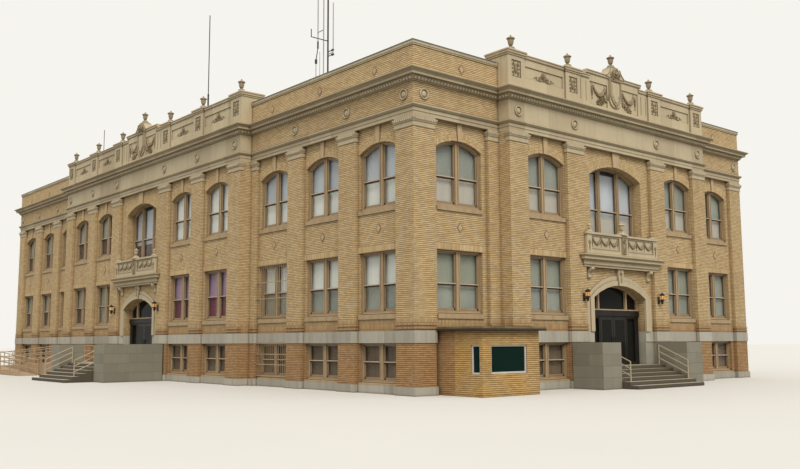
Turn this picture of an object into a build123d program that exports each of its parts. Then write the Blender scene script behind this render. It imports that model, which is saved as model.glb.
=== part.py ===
from build123d import *
import math
import os

# Town hall with a long front and a short right front, built at half size.
# Front faces -Y, the right front faces +X, ground is z = 0.
# Each size is in metres of the real building times m, so it comes out in model millimetres.

m = 500.0

# Overall plan, measured to the faces of the piers
LENGTH = 43.96 * m
DEPTH = 22.74 * m
PAV_OUT = 0.585 * m
PAV_HALF_FRONT = 10.80 * m
PAV_HALF_RIGHT = 6.95 * m
PIER_OUT = 0.18 * m
WALL = 0.60 * m
PIER_W = 1.05 * m
CORNER_W = 1.02 * m

# Levels above the ground
PLINTH_TOP = 0.30 * m
BAND_LOW = 1.84 * m
BAND_TOP = 2.28 * m
WALL_TOP = 10.04 * m
NECK_LOW = 9.61 * m
ARCHITRAVE_TOP = 10.43 * m
FRIEZE_TOP = 11.26 * m
CORNICE_TOP = 11.72 * m
PARAPET_TOP = 12.62 * m
COPING_TOP = 12.86 * m
PIER_CAP_LOW = 13.05 * m
PIER_CAP_TOP = 13.29 * m
CREST_TOP = 13.83 * m
THRESHOLD = 0.85 * m

# Windows
WIN_HALF = 1.18 * m
BASE_WIN = (0.39 * m, 1.84 * m)
FIRST_WIN = (2.92 * m, 5.24 * m)
SECOND_WIN = (6.88 * m, 9.07 * m)
SECOND_RISE = 0.32 * m
STOREYS = {
    "base": (*BASE_WIN, 0, PLINTH_TOP),
    "first": (*FIRST_WIN, 0, 2.72 * m),
    "second": (*SECOND_WIN, SECOND_RISE, 6.69 * m),
}
WIN_RECESS = 0.14 * m
FRAME_DEPTH = 0.10 * m
GLASS_T = 0.02 * m

# Entrance bay in the middle of each pavilion
ENTRY_HALF = 1.83 * m
ENTRY_SPRING = 3.70 * m
ENTRY_RISE = 0.54 * m
WIDE_WIN = (6.00 * m, 8.93 * m)
WIDE_RISE = 0.47 * m

# Where solids of one node would meet they stand this far apart
SPLIT = 0.5

# Straight pieces in a segmental head, and sides of a turned piece
HEAD_CHORDS = 8
TURNED_SIDES = 10
PIPE_SIDES = 6

# Bay centres along each front, seen from outside, from its middle
FRONT_WINDOWS = [4.85 * m, 8.44 * m, 12.52 * m, 16.16 * m, 19.76 * m]
FRONT_PIERS = [3.05 * m, 6.64 * m, 10.275 * m, 14.34 * m, 17.99 * m]
RIGHT_WINDOWS = [4.69 * m, 8.93 * m]
RIGHT_PIERS = [2.955 * m, 6.425 * m]
BACK_PITCH = 3.81 * m
LEFT_PITCH = 4.13 * m
HALF_PIER_FRONT = 0.42 * m
HALF_PIER_RIGHT = 0.57 * m

# Steps and the walls beside them
CHEEK_IN = 2.35 * m
CHEEK_OUT = 3.55 * m
CHEEK_TOP = BAND_LOW - 0.02 * m
RISERS = 6
TREAD = 0.37 * m
LANDING_RIGHT = 1.00 * m
CHEEK_END_RIGHT = 2.10 * m
LANDING_FRONT = 3.20 * m
CHEEK_END_FRONT = 3.65 * m

HX = LENGTH / 2
HY = DEPTH / 2
INNER = PIER_OUT + WALL

FRONT = Location((0, -HY, 0))
RIGHT = Location((HX, 0, 0), (0, 0, 90))
BACK = Location((0, HY, 0), (0, 0, 180))
LEFT = Location((-HX, 0, 0), (0, 0, -90))

# The finished part is centred on its own box
STEP_END = LANDING_FRONT + (RISERS - 1) * TREAD
RIGHT_END = LANDING_RIGHT + (RISERS - 1) * TREAD
CORNICE_OUT = 0.40 * m
SHIFT = Location(
    (
        -((HX + RIGHT_END) + (-HX - CORNICE_OUT)) / 2,
        -((HY + CORNICE_OUT) + (-HY - STEP_END)) / 2,
        0,
    )
)


def put(name, shapes):
    """Write one node, moved to the frame of the finished part."""
    solids = []
    for shape in shapes if isinstance(shapes, (list, tuple)) else [shapes]:
        solids += shape.solids()
    solids = [SHIFT * s for s in solids]
    export_step(solids[0] if len(solids) == 1 else Compound(children=solids), f"parts/{name}.step")


def block(x0, x1, y0, y1, z0, z1):
    return Pos((x0 + x1) / 2, (y0 + y1) / 2, (z0 + z1) / 2) * Box(
        abs(x1 - x0), abs(y1 - y0), abs(z1 - z0)
    )


def prism(points, z0, z1):
    """Upright solid on a plan outline."""
    face = make_face(Polyline(*points, close=True))
    return Pos(0, 0, z0) * extrude(face, z1 - z0, dir=(0, 0, 1))


def upright(face_xz, y0, y1):
    """Solid from a face drawn in X and Z (as X and Y), running from y0 to y1."""
    solid = extrude(face_xz, y1 - y0, dir=(0, 0, 1))
    return Pos(0, y1, 0) * (Rot(90, 0, 0) * solid)


def arch_face(half, low, spring, rise):
    """Opening outline: straight sides and a segmental head drawn in short chords."""
    if rise <= 0:
        return make_face(
            Polyline((-half, low), (half, low), (half, spring), (-half, spring), close=True)
        )
    radius = (half * half + rise * rise) / (2 * rise)
    sweep_angle = math.asin(half / radius)
    centre = spring + rise - radius
    head = []
    for k in range(HEAD_CHORDS + 1):
        a = sweep_angle * (1 - 2 * k / HEAD_CHORDS)
        head.append((radius * math.sin(a), centre + radius * math.cos(a)))
    return make_face(Polyline((-half, low), (half, low), *head, close=True))


def at(x, shape):
    return Pos(x, 0, 0) * shape


def both(values):
    return [-v for v in reversed(values)] + list(values)


def rectangle(x0, x1, y0, y1):
    """Plan outline as a function of how far its free edges are pushed out."""
    return lambda d: [(x0 - d, y0 - d), (x1 + d, y0 - d), (x1 + d, y1 + d), (x0 - d, y1 + d)]


def moulding(profile, outline):
    """Solid whose sides follow a profile of (out, height) in metres, mitred at every corner."""
    return stacked([[(x, y, z * m) for x, y in outline(d * m)] for d, z in profile])


def stacked(rings):
    """Solid closed by flat facets between like rings of points, lowest first."""
    faces = [make_face(Polyline(*rings[0], close=True)), make_face(Polyline(*rings[-1], close=True))]
    count = len(rings[0])
    for low, high in zip(rings, rings[1:]):
        for k in range(count):
            n = (k + 1) % count
            faces.append(make_face(Polyline(low[k], low[n], high[n], high[k], close=True)))
    return Solid(Shell(faces))


def bar(x0, x1, profile):
    """Straight moulding along X with a section given as (y, z) points."""
    section = make_face(Polyline(*profile, close=True))
    solid = extrude(section, x1 - x0, dir=(0, 0, 1))
    return Pos(x0, 0, 0) * (Plane.YZ.location * solid)


# Plan outlines

def face_outline(d=0.0):
    """Outline at the pier faces, pushed out by d."""
    f, r, p = PAV_HALF_FRONT + d, PAV_HALF_RIGHT + d, PAV_OUT
    x, y = HX + d, HY + d
    return [
        (-x, -y), (-f, -y), (-f, -y - p), (f, -y - p), (f, -y), (x, -y),
        (x, -r), (x + p, -r), (x + p, r), (x, r), (x, y), (-x, y),
    ]


def panel_outline(d=0.0):
    """Outline at the wall panels between the piers; the pavilion returns stay flush."""
    k = PIER_OUT - d
    f, r, p = PAV_HALF_FRONT + d, PAV_HALF_RIGHT + d, PAV_OUT
    x, y = HX - k, HY - k
    return [
        (-x, -y), (-f, -y), (-f, -y - p), (f, -y - p), (f, -y), (x, -y),
        (x, -r), (x + p, -r), (x + p, r), (x, r), (x, y), (-x, y),
    ]


def inner_outline():
    """Outline of the rooms."""
    f, r, p = PAV_HALF_FRONT - WALL, PAV_HALF_RIGHT - WALL, PAV_OUT
    x, y = HX - INNER, HY - INNER
    return [
        (-x, -y), (-f, -y), (-f, -y - p), (f, -y - p), (f, -y), (x, -y),
        (x, -r), (x + p, -r), (x + p, r), (x, r), (x, y), (-x, y),
    ]


def runs(ring, jut, z0, z1):
    """Cut a ring round the building into its eight straight runs."""
    g = SPLIT / 2
    far = 2 * LENGTH
    f, r = PAV_HALF_FRONT + jut, PAV_HALF_RIGHT + jut
    x, y = HX - INNER, HY - INNER
    z0, z1 = z0 - 10, z1 + 10
    regions = [
        (-far, -f - g, -far, -y - g), (-f + g, f - g, -far, -y - g), (f + g, far, -far, -y - g),
        (x, far, -y + g, -r - g), (x, far, -r + g, r - g), (x, far, r + g, y - g),
        (-far, far, y + g, far), (-far, -x, -y + g, y - g),
    ]
    out = []
    for x0, x1, y0, y1 in regions:
        out += (ring & block(x0, x1, y0, y1, z0, z1)).solids()
    return out


# Walls

def window_holes(storey):
    """Prisms that cut one storey's windows, and the seats of their sills, into every wall."""
    low, spring, rise, seat = STOREYS[storey]
    hole = upright(arch_face(WIN_HALF, low, spring, rise), -1.0 * m, 1.0 * m)
    deep = WIN_RECESS + FRAME_DEPTH
    out = []
    for side, xs in window_places(storey):
        half = side_half(side)
        for x in xs:
            y = pavilion_y(x, half)
            out.append(side * at(x, hole))
            out.append(side * block(x - WIN_HALF, x + WIN_HALF, -1.0 * m, y + deep, seat, low + 1))
    return out


def window_places(storey):
    back = [k * BACK_PITCH for k in range(-5, 6)]
    left = [k * LEFT_PITCH for k in range(-2, 3)]
    right = both(RIGHT_WINDOWS)
    if storey == "base":
        right = right[1:]
    return [(FRONT, both(FRONT_WINDOWS)), (RIGHT, right), (BACK, back), (LEFT, left)]


def pavilion_y(x, half):
    """Depth of the panel plane at x, in a front's own frame."""
    return PIER_OUT - (PAV_OUT if abs(x) < half else 0)


def side_half(side):
    """Half width of a front's pavilion; the plain sides have none."""
    return {id(FRONT): PAV_HALF_FRONT, id(RIGHT): PAV_HALF_RIGHT}.get(id(side), 0)


def wall_shell():
    """Brick walls from the plinth to the architrave, windows and doorways cut."""
    upper = prism(panel_outline(), BAND_TOP, WALL_TOP) - prism(inner_outline(), 0, 2 * WALL_TOP)
    lower = prism(panel_outline(), PLINTH_TOP, BAND_LOW) - prism(inner_outline(), 0, 2 * WALL_TOP)
    upper -= window_holes("first") + window_holes("second")
    lower -= window_holes("base")
    return upper, lower


def wall_nodes():
    upper, lower = wall_shell()
    x, y, g, far = HX - INNER, HY - INNER, SPLIT / 2, 2 * LENGTH
    f, r, e = PAV_HALF_FRONT, PAV_HALF_RIGHT, ENTRY_HALF
    z0, z1 = 0, WALL_TOP + 10

    def cut(body, x0, x1, y0, y1):
        return (body & block(x0, x1, y0, y1, z0, z1)).solids()

    nodes = {}
    for name, sign in (("front_wall_left", -1), ("front_wall_right", 1)):
        solids = []
        for body in (upper, lower):
            a, b = sorted((sign * (f + g), sign * far))
            solids += cut(body, a, b, -far, -y)
            a, b = sorted((sign * e, sign * (f - g)))
            solids += cut(body, a, b, -far, -y)
        nodes[name] = solids
    for name, sign in (("right_wall_near", -1), ("right_wall_far", 1)):
        solids = []
        for body in (upper, lower):
            a, b = sorted((sign * (r + g), sign * y))
            solids += cut(body, x, far, a, b)
            a, b = sorted((sign * e, sign * (r - g)))
            solids += cut(body, x, far, a, b)
        nodes[name] = solids
    nodes["back_wall"] = cut(upper, -far, far, y, far) + cut(lower, -far, far, y, far)
    nodes["left_wall"] = cut(upper, -far, -x, -y, y) + cut(lower, -far, -x, -y, y)
    return nodes


def entrance_walls():
    """Wall over each doorway and over each wide upper window, with their arches."""
    y0, y1 = PIER_OUT - PAV_OUT, PIER_OUT - PAV_OUT + WALL
    over_door = block(-ENTRY_HALF, ENTRY_HALF, y0, y1, ENTRY_SPRING, WIDE_WIN[0])
    over_door -= upright(arch_face(ENTRY_HALF, 0, ENTRY_SPRING, ENTRY_RISE), -far_y(), far_y())
    over_window = block(-ENTRY_HALF, ENTRY_HALF, y0, y1, WIDE_WIN[1], WALL_TOP)
    over_window -= upright(arch_face(ENTRY_HALF, 0, WIDE_WIN[1], WIDE_RISE), -far_y(), far_y())
    return over_door.solids() + over_window.solids()


def far_y():
    return 3.0 * m


# Piers, pilasters and the stone that wraps them

def pier_places(side):
    """(left, right, on the pavilion, joined side) of each pilaster; corner piers are left out."""
    if side is FRONT or side is RIGHT:
        centres = both(FRONT_PIERS if side is FRONT else RIGHT_PIERS)
        half = side_half(side)
        w = HALF_PIER_FRONT if side is FRONT else HALF_PIER_RIGHT
        out = [(x - PIER_W / 2, x + PIER_W / 2, abs(x) < half, 0) for x in centres]
        return out + [(-half - w, -half, False, 1), (half, half + w, False, -1)]
    pitch, n = (BACK_PITCH, 5) if side is BACK else (LEFT_PITCH, 2)
    centres = both([(k + 0.5) * pitch for k in range(n)])
    return [(x - PIER_W / 2, x + PIER_W / 2, False, 0) for x in centres]


def pilaster(place, z0, z1, grow=0.0, deep=0.0):
    """One pier standing PIER_OUT proud of its panel; a half pier grows on its free side only."""
    x0, x1, pav, joined = place
    y = -PAV_OUT if pav else 0.0
    x0 -= 0 if joined < 0 else grow
    x1 += 0 if joined > 0 else grow
    return block(x0, x1, y - grow, y + PIER_OUT + deep, z0, z1)


def corner_outline(grow=0.0):
    """Plan of the L-shaped pier round the near right corner."""
    a = HX + grow
    b = HY + grow
    w = CORNER_W + grow
    ix, iy = HX - PIER_OUT, HY - PIER_OUT
    return [(a, -b), (a, -HY + w), (ix, -HY + w), (ix, -iy), (HX - w, -iy), (HX - w, -b)]


def corner_pier(z0, z1, grow=0.0):
    """Corner pier at the near right; the others are its mirror images."""
    return prism(corner_outline(grow), z0, z1)


def four(shape):
    """A corner piece and its mirror images at the other three corners."""
    other = mirror(shape, Plane.YZ)
    return [shape, other, mirror(shape, Plane.XZ), mirror(other, Plane.XZ)]


def pilasters():
    """Shafts with two base courses, and the plain piers below the stone band."""
    solids = []
    for side in (FRONT, RIGHT, BACK, LEFT):
        for place in pier_places(side):
            shaft = pilaster(place, BAND_TOP, NECK_LOW)
            shaft += pilaster(place, 2.33 * m, 2.40 * m, 0.03 * m)
            shaft += pilaster(place, 2.47 * m, 2.54 * m, 0.03 * m)
            solids += [side * shaft, side * pilaster(place, PLINTH_TOP, BAND_LOW)]
    return solids


def corner_piers():
    shaft = corner_pier(BAND_TOP, NECK_LOW)
    shaft += corner_pier(2.33 * m, 2.40 * m, 0.03 * m)
    shaft += corner_pier(2.47 * m, 2.54 * m, 0.03 * m)
    return four(shaft) + four(corner_pier(PLINTH_TOP, BAND_LOW))


def wrapped_ring(z0, z1, grow):
    """Stone course that follows the panels and steps out round every pier."""
    ring = prism(panel_outline(grow), z0, z1)
    parts = []
    for side in (FRONT, RIGHT, BACK, LEFT):
        for place in pier_places(side):
            parts.append(side * pilaster(place, z0, z1, grow, 0.1 * m))
    corner = corner_pier(z0, z1, grow)
    parts += four(corner)
    ring = ring + parts
    ring -= prism(inner_outline(), z0 - 10, z1 + 10)
    door = block(-ENTRY_HALF, ENTRY_HALF, -far_y(), far_y(), z0 - 10, z1 + 10)
    return ring - [FRONT * door, RIGHT * door]


CAPITAL = [
    (0.025, NECK_LOW / m), (0.025, 9.78), (0.05, 9.79), (0.05, 9.82),
    (0.06, 9.83), (0.09, 9.91), (0.09, 9.95), (0.03, 9.96), (0.03, WALL_TOP / m),
]


def pilaster_outline(place):
    """Plan of a pilaster with its free edges pushed out by d."""
    x0, x1, pav, joined = place
    y = -PAV_OUT if pav else 0.0

    def outline(d):
        a = x0 - (0 if joined < 0 else d)
        b = x1 + (0 if joined > 0 else d)
        return [(a, y - d), (b, y - d), (b, y + PIER_OUT), (a, y + PIER_OUT)]

    return outline


def capitals():
    """Necking and egg-and-dart moulding on top of every pilaster."""
    solids = []
    full = moulding(CAPITAL, pilaster_outline((-PIER_W / 2, PIER_W / 2, False, 0)))
    for side in (FRONT, RIGHT, BACK, LEFT):
        for place in pier_places(side):
            x0, x1, pav, joined = place
            if joined:
                solids.append(side * moulding(CAPITAL, pilaster_outline(place)))
            else:
                move = Pos((x0 + x1) / 2, -PAV_OUT if pav else 0, 0)
                solids.append(side * (move * full))
    return solids + four(moulding(CAPITAL, corner_outline))


# Mouldings that run round the building

def ring_of_profile(profile):
    """Moulded ring round the building, hollow over the rooms."""
    z0, z1 = profile[0][1] * m, profile[-1][1] * m
    return moulding(profile, face_outline) - prism(inner_outline(), z0 - 10, z1 + 10)


def architrave():
    profile = [
        (0.0, 10.04), (0.0, 10.17), (0.02, 10.17), (0.02, 10.31),
        (0.05, 10.31), (0.11, 10.38), (0.11, 10.43),
    ]
    ring = ring_of_profile(profile)
    return runs(ring, 0.12 * m, WALL_TOP, ARCHITRAVE_TOP)


def frieze_runs():
    ring = prism(face_outline(), ARCHITRAVE_TOP, FRIEZE_TOP)
    ring -= prism(inner_outline(), 0, 2 * FRIEZE_TOP)
    g, far = SPLIT / 2, 2 * LENGTH
    x, y = HX - INNER, HY - INNER
    f, r = PAV_HALF_FRONT, PAV_HALF_RIGHT
    wings = []
    for x0, x1, y0, y1 in [
        (-far, -f, -far, -y - g), (f, far, -far, -y - g), (x, far, -y + g, -r), (x, far, r, y - g),
        (-far, far, y + g, far), (-far, -x, -y + g, y - g),
    ]:
        wings += (ring & block(x0, x1, y0, y1, 0, 2 * FRIEZE_TOP)).solids()
    pavs = []
    for x0, x1, y0, y1 in [(-f, f, -far, -y), (x, far, -r, r)]:
        pavs += (ring & block(x0, x1, y0, y1, 0, 2 * FRIEZE_TOP)).solids()
    return wings, pavs


def cornice():
    profile = [
        (0.05, 11.26), (0.05, 11.30), (0.08, 11.30), (0.15, 11.42), (0.15, 11.45),
        (0.28, 11.45), (0.28, 11.545), (0.30, 11.545), (0.30, 11.565),
        (0.33, 11.59), (0.385, 11.625), (0.40, 11.65), (0.40, 11.675), (0.30, 11.70), (0.30, 11.72),
    ]
    ring = ring_of_profile(profile)
    return runs(ring, 0.41 * m, FRIEZE_TOP, CORNICE_TOP)


PARAPET_T = 0.33 * m
COPING_OUT = 0.05 * m


def wing_parapet():
    """Low brick walls over the wings, the back and the left end."""
    t = PARAPET_T
    outer = prism(face_outline(0), CORNICE_TOP, PARAPET_TOP)
    ring = outer - prism(face_outline(-t), 0, 2 * PARAPET_TOP)
    return wing_only(ring, PARAPET_TOP)


def parapet_coping():
    """Weathered stone coping on the wing parapets, with a drip under its edge."""
    out = COPING_OUT / m
    profile = [
        (out - 0.02, PARAPET_TOP / m), (out - 0.02, 12.66), (out, 12.68), (out, 12.80),
        (-out, COPING_TOP / m),
    ]
    ring = moulding(profile, face_outline)
    ring -= prism(face_outline(-PARAPET_T - COPING_OUT), 0, 2 * COPING_TOP)
    return wing_only(ring, COPING_TOP)


def wing_only(ring, top):
    g, far = SPLIT / 2, 2 * LENGTH
    t = 0.5 * m
    x, y = HX - t, HY - t
    f, r = PAV_HALF_FRONT, PAV_HALF_RIGHT
    edge = COPING_OUT + 1
    ex, ey = HX + edge, HY + edge
    out = []
    for x0, x1, y0, y1 in [
        (-far, -f, -ey, -y - g), (f, far, -ey, -y - g), (x, ex, -y + g, -r), (x, ex, r, y - g),
        (-far, far, y + g, far), (-far, -x, -y + g, y - g),
    ]:
        out += (ring & block(x0, x1, y0, y1, 0, 2 * top)).solids()
    return out


# Pavilion parapets

PANEL_BACK = 0.40 * m


def pier_spans(side):
    """(left, right, back) of each parapet pier; the end ones return behind the front."""
    piers = FRONT_PIERS[:3] if side is FRONT else RIGHT_PIERS
    half = side_half(side)
    w = 0.95 * m
    out = []
    for x in both(piers):
        if abs(x) == piers[-1]:
            a, b = (half - w, half) if x > 0 else (-half, -half + w)
            out.append((a, b, -PAV_OUT + 1.10 * m))
        else:
            out.append((x - w / 2, x + w / 2, -PAV_OUT + 0.50 * m))
    return out


PIER_CAP = [
    (0.03, PIER_CAP_LOW / m), (0.03, 13.10), (0.07, 13.13), (0.07, 13.19),
    (0.10, 13.22), (0.10, 13.26), (0.07, PIER_CAP_TOP / m),
]


def coping_section(y0, y1, low):
    """Section of the coping on the pavilion parapets, 0.17 m high."""
    steps = [
        (0, 0), (-0.03, 0), (-0.05, 0.03), (-0.05, 0.09), (-0.08, 0.12), (-0.08, 0.15), (-0.05, 0.17),
    ]
    front = [(y0 + d * m, low + h * m) for d, h in steps]
    return front + [(y1 + 0.05 * m, low + 0.17 * m), (y1 + 0.05 * m, low)]


def parapet_piers(side):
    """Stone piers with sunk panels and stepped caps over the pavilion pilasters."""
    solids = []
    y0 = -PAV_OUT
    for a, b, y1 in pier_spans(side):
        pier = block(a, b, y0, y1, CORNICE_TOP, PIER_CAP_LOW)
        c = (a + b) / 2
        pier -= block(c - 0.27 * m, c + 0.27 * m, y0 - 1, y0 + 0.03 * m, 12.20 * m, 12.88 * m)
        solids.append(side * (pier + moulding(PIER_CAP, rectangle(a, b, y0, y1))))
    return solids


def parapet_panels(side):
    """Recessed stone panels and their coping between the piers."""
    piers = FRONT_PIERS[:3] if side is FRONT else RIGHT_PIERS
    half = PAV_HALF_FRONT if side is FRONT else PAV_HALF_RIGHT
    w = 0.95 * m
    y0 = -PAV_OUT + 0.07 * m
    y1 = y0 + 0.33 * m
    edges = [x - w / 2 for x in piers[:-1]] + [half - w]
    lows = [x + w / 2 for x in piers[:-1]]
    solids = []
    for a, b in zip(lows, edges[1:]):
        slab = block(a, b, y0, y1, CORNICE_TOP, 13.07 * m)
        slab -= block(a + 0.12 * m, b - 0.12 * m, y0 - 1, y0 + 0.04 * m, 12.28 * m, 12.77 * m)
        slab += bar(a, b, coping_section(y0, y1, 13.07 * m))
        solids += [side * slab, side * mirror(slab, Plane.YZ)]
    return solids


def crest(side):
    """Middle of the pavilion parapet: a raised panel under a scrolled gable."""
    inner = (FRONT_PIERS if side is FRONT else RIGHT_PIERS)[0] - 0.475 * m
    y0 = -PAV_OUT + 0.07 * m
    y1 = y0 + 0.33 * m
    rise = 1.90 * m
    body = block(-inner, inner, y0, y1, CORNICE_TOP, 13.07 * m)
    body += block(-rise, rise, y0, y1, 13.07 * m, 13.30 * m)
    for s in (-1, 1):
        a, b = sorted((s * (rise - 0.1 * m), s * inner))
        body += bar(a, b, coping_section(y0, y1, 13.07 * m))
    body += bar(-rise - 0.06 * m, rise + 0.06 * m, coping_section(y0, y1, 13.30 * m))
    gable = gable_face(0.66 * m, 0.32 * m, 13.39 * m, CREST_TOP)
    body += upright(gable, y0 - 0.08 * m, y1 + 0.05 * m)
    body += upright(shield_face(0.42 * m, 12.06 * m, 13.30 * m), y0 - 0.06 * m, y0 + 0.05 * m)
    for s in (-1, 1):
        a, b = sorted((s * 0.52 * m, s * 1.75 * m))
        body -= block(a, b, y0 - 1, y0 + 0.04 * m, 11.98 * m, 12.98 * m)
    return side * body


def shield_face(half, low, top):
    """Shield: flat top, upright sides and a foot drawn to a point by two arcs."""
    spring = low + 0.35 * (top - low)
    knee = (0.78 * half, low + 0.10 * (top - low))
    return make_face(
        ThreePointArc((0, low), knee, (half, spring)).edges()
        + Polyline((half, spring), (half, top), (-half, top), (-half, spring)).edges()
        + ThreePointArc((-half, spring), (-knee[0], knee[1]), (0, low)).edges()
    )


def gable_face(wide, narrow, low, top):
    """Concave shoulders rising to a small flat top."""
    mid_z = low + 0.35 * (top - low)
    mid_x = narrow + 0.22 * (wide - narrow)
    right = ThreePointArc((wide, low), (mid_x + 0.06 * m, mid_z + 0.02 * m), (narrow, top))
    left = ThreePointArc((-narrow, top), (-mid_x - 0.06 * m, mid_z + 0.02 * m), (-wide, low))
    return make_face(
        right.edges()
        + Line((narrow, top), (-narrow, top)).edges()
        + left.edges()
        + Line((-wide, low), (wide, low)).edges()
    )


def turned(profile, sides=TURNED_SIDES):
    """Turned piece from (radius, height) points."""
    turns = [2 * math.pi * (k + 0.5) / sides for k in range(sides)]
    return stacked([[(r * math.cos(t), r * math.sin(t), z) for t in turns] for r, z in profile])


def urn(size=1.0):
    """Turned urn with a flared cup and lid on a swept square base, foot at z = 0."""
    k = size * m
    foot = [(0.325, 0), (0.325, 0.05), (0.24, 0.08), (0.16, 0.14), (0.14, 0.20)]
    cup = [
        (0.085, 0.20), (0.05, 0.235), (0.09, 0.28), (0.115, 0.36), (0.13, 0.50),
        (0.175, 0.525), (0.175, 0.55), (0.10, 0.60), (0.035, 0.63), (0.03, 0.68),
    ]
    base = turned([(r * k, z * k) for r, z in foot], 4)
    return base + turned([(r * k, z * k) for r, z in cup])


def urns():
    """One urn on each parapet pier and one on each crest."""
    solids = []
    one = urn()
    for side in (FRONT, RIGHT):
        for a, b, back in pier_spans(side):
            solids.append(side * (Pos((a + b) / 2, -PAV_OUT + 0.27 * m, PIER_CAP_TOP) * one))
        solids.append(side * (Pos(0, -PAV_OUT + 0.22 * m, CREST_TOP) * one))
    return solids


# Windows

def window_frame(low, spring, rise, double=True, half=WIN_HALF, y=0.0):
    """Frame with a wide middle post, or with two posts, in a front's own frame at x = 0."""
    outer = arch_face(half, low, spring, rise)
    frame = upright(outer, y + WIN_RECESS, y + WIN_RECESS + FRAME_DEPTH)
    jamb, post = 0.09 * m, 0.15 * m
    head = spring + rise
    hole = upright(
        arch_face(half - jamb, low + 0.10 * m, spring - 0.06 * m, rise), y, y + 1.0 * m
    )
    if double:
        keep = block(-post, post, y, y + 1.0 * m, low, head + 10)
    else:
        third = half * 0.36
        keep = block(-third - 0.10 * m, -third + 0.06 * m, y, y + 1.0 * m, low, head + 10)
        keep += block(third - 0.06 * m, third + 0.10 * m, y, y + 1.0 * m, low, head + 10)
    return frame - (hole - keep)


def window_glass(low, spring, rise, half=WIN_HALF, y=0.0):
    pane = arch_face(half - 0.03 * m, low + 0.03 * m, spring - 0.03 * m, rise)
    y0 = y + WIN_RECESS + FRAME_DEPTH
    return upright(pane, y0, y0 + GLASS_T)


def storey_windows(storey):
    low, spring, rise, seat = STOREYS[storey]
    frame = window_frame(low, spring, rise)
    glass = window_glass(low, spring, rise)
    frames, panes = [], []
    for side, xs in window_places(storey):
        half = side_half(side)
        for x in xs:
            y = pavilion_y(x, half)
            frames.append(side * (Pos(x, y, 0) * frame))
            panes.append(side * (Pos(x, y, 0) * glass))
    if storey == "second":
        y = PIER_OUT - PAV_OUT + 0.40 * m - WIN_RECESS
        wide = window_frame(*WIDE_WIN, WIDE_RISE, False, ENTRY_HALF, 0)
        pane = window_glass(*WIDE_WIN, WIDE_RISE, ENTRY_HALF, 0)
        for side in (FRONT, RIGHT):
            frames.append(side * (Pos(0, y, 0) * wide))
            panes.append(side * (Pos(0, y, 0) * pane))
    return frames, panes


def sills():
    solids = []
    for storey, (low, spring, rise, seat) in STOREYS.items():
        for side, xs in window_places(storey):
            half = side_half(side)
            for x in xs:
                solids.append(side * sill(x, pavilion_y(x, half), seat, low))
    return solids


def sill(x, y, z0, z1):
    """Sloped sill let into the wall below a window."""
    out = 0.05 * m
    inn = WIN_RECESS + FRAME_DEPTH
    section = [(-out, z0), (inn, z0), (inn, z1), (-out, z1 - 0.03 * m)]
    return Pos(0, y, 0) * bar(x - WIN_HALF, x + WIN_HALF, section)


def keystones():
    """Stone keystones over the upper windows, up to the architrave."""
    solids = []
    low, top = SECOND_WIN[1] + SECOND_RISE - 0.02 * m, WALL_TOP
    face = make_face(
        Polyline((-0.09 * m, low), (0.09 * m, low), (0.13 * m, top), (-0.13 * m, top), close=True)
    )
    stone = upright(face, -0.06 * m, 0)
    for side, xs in window_places("second"):
        half = side_half(side)
        for x in xs:
            solids.append(side * (Pos(x, pavilion_y(x, half), 0) * stone))
    low = WIDE_WIN[1] + WIDE_RISE - 0.02 * m
    wide = make_face(
        Polyline((-0.20 * m, low), (0.20 * m, low), (0.26 * m, top), (-0.26 * m, top), close=True)
    )
    stone = upright(wide, -0.08 * m, 0)
    for side in (FRONT, RIGHT):
        solids.append(side * (Pos(0, PIER_OUT - PAV_OUT, 0) * stone))
    return solids


# Floors and roof

def floors():
    """Slabs between the walls; the first floor leaves both entrance halls open."""
    room = inner_outline()
    first = prism(room, 1.90 * m, 2.20 * m)
    hall = 2.4 * m
    y = -HY + PIER_OUT - PAV_OUT + WALL + 3.2 * m
    x = HX - (PIER_OUT - PAV_OUT + WALL + 3.2 * m)
    g, far = SPLIT, 2 * LENGTH
    pieces = []
    for x0, x1, y0, y1 in [
        (-far, -hall, -far, y - g), (hall, far, -far, y - g), (-far, x - g, y, far),
        (x, far, y, -hall), (x, far, hall, far),
    ]:
        pieces += (first & block(x0, x1, y0, y1, 0, 3 * m)).solids()
    return {
        "basement_floor": prism(room, 0, 0.15 * m),
        "first_floor": pieces,
        "second_floor": prism(room, 5.66 * m, 5.96 * m),
        "roof_deck": prism(room, 11.40 * m, CORNICE_TOP),
    }


# Entrances

FRAME_Y = PIER_OUT - PAV_OUT + 0.36 * m
LEAF_T = 0.045 * m
LEAF_HALF = 0.93 * m
DOOR_TOP = 2.94 * m
CLEAR = 8.0


def entrance_frame():
    """Dark metal frame: a side light each side of the doors, and a head with lights above."""
    y0, y1 = FRAME_Y, FRAME_Y + 0.10 * m
    g = SPLIT
    solids = []
    for s in (-1, 1):
        a, b = sorted((s * LEAF_HALF, s * ENTRY_HALF))
        light = block(a, b, y0, y1, THRESHOLD, DOOR_TOP - g)
        a, b = sorted((s * (LEAF_HALF + 0.08 * m), s * (LEAF_HALF + 0.62 * m)))
        light -= block(a, b, y0 - 1, y1 + 1, THRESHOLD + 0.12 * m, DOOR_TOP - 0.10 * m)
        solids.append(light)
    head = block(-ENTRY_HALF, ENTRY_HALF, y0 - 0.06 * m, y1, DOOR_TOP, 3.18 * m)
    return solids + [head + transom_frame()]


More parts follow.
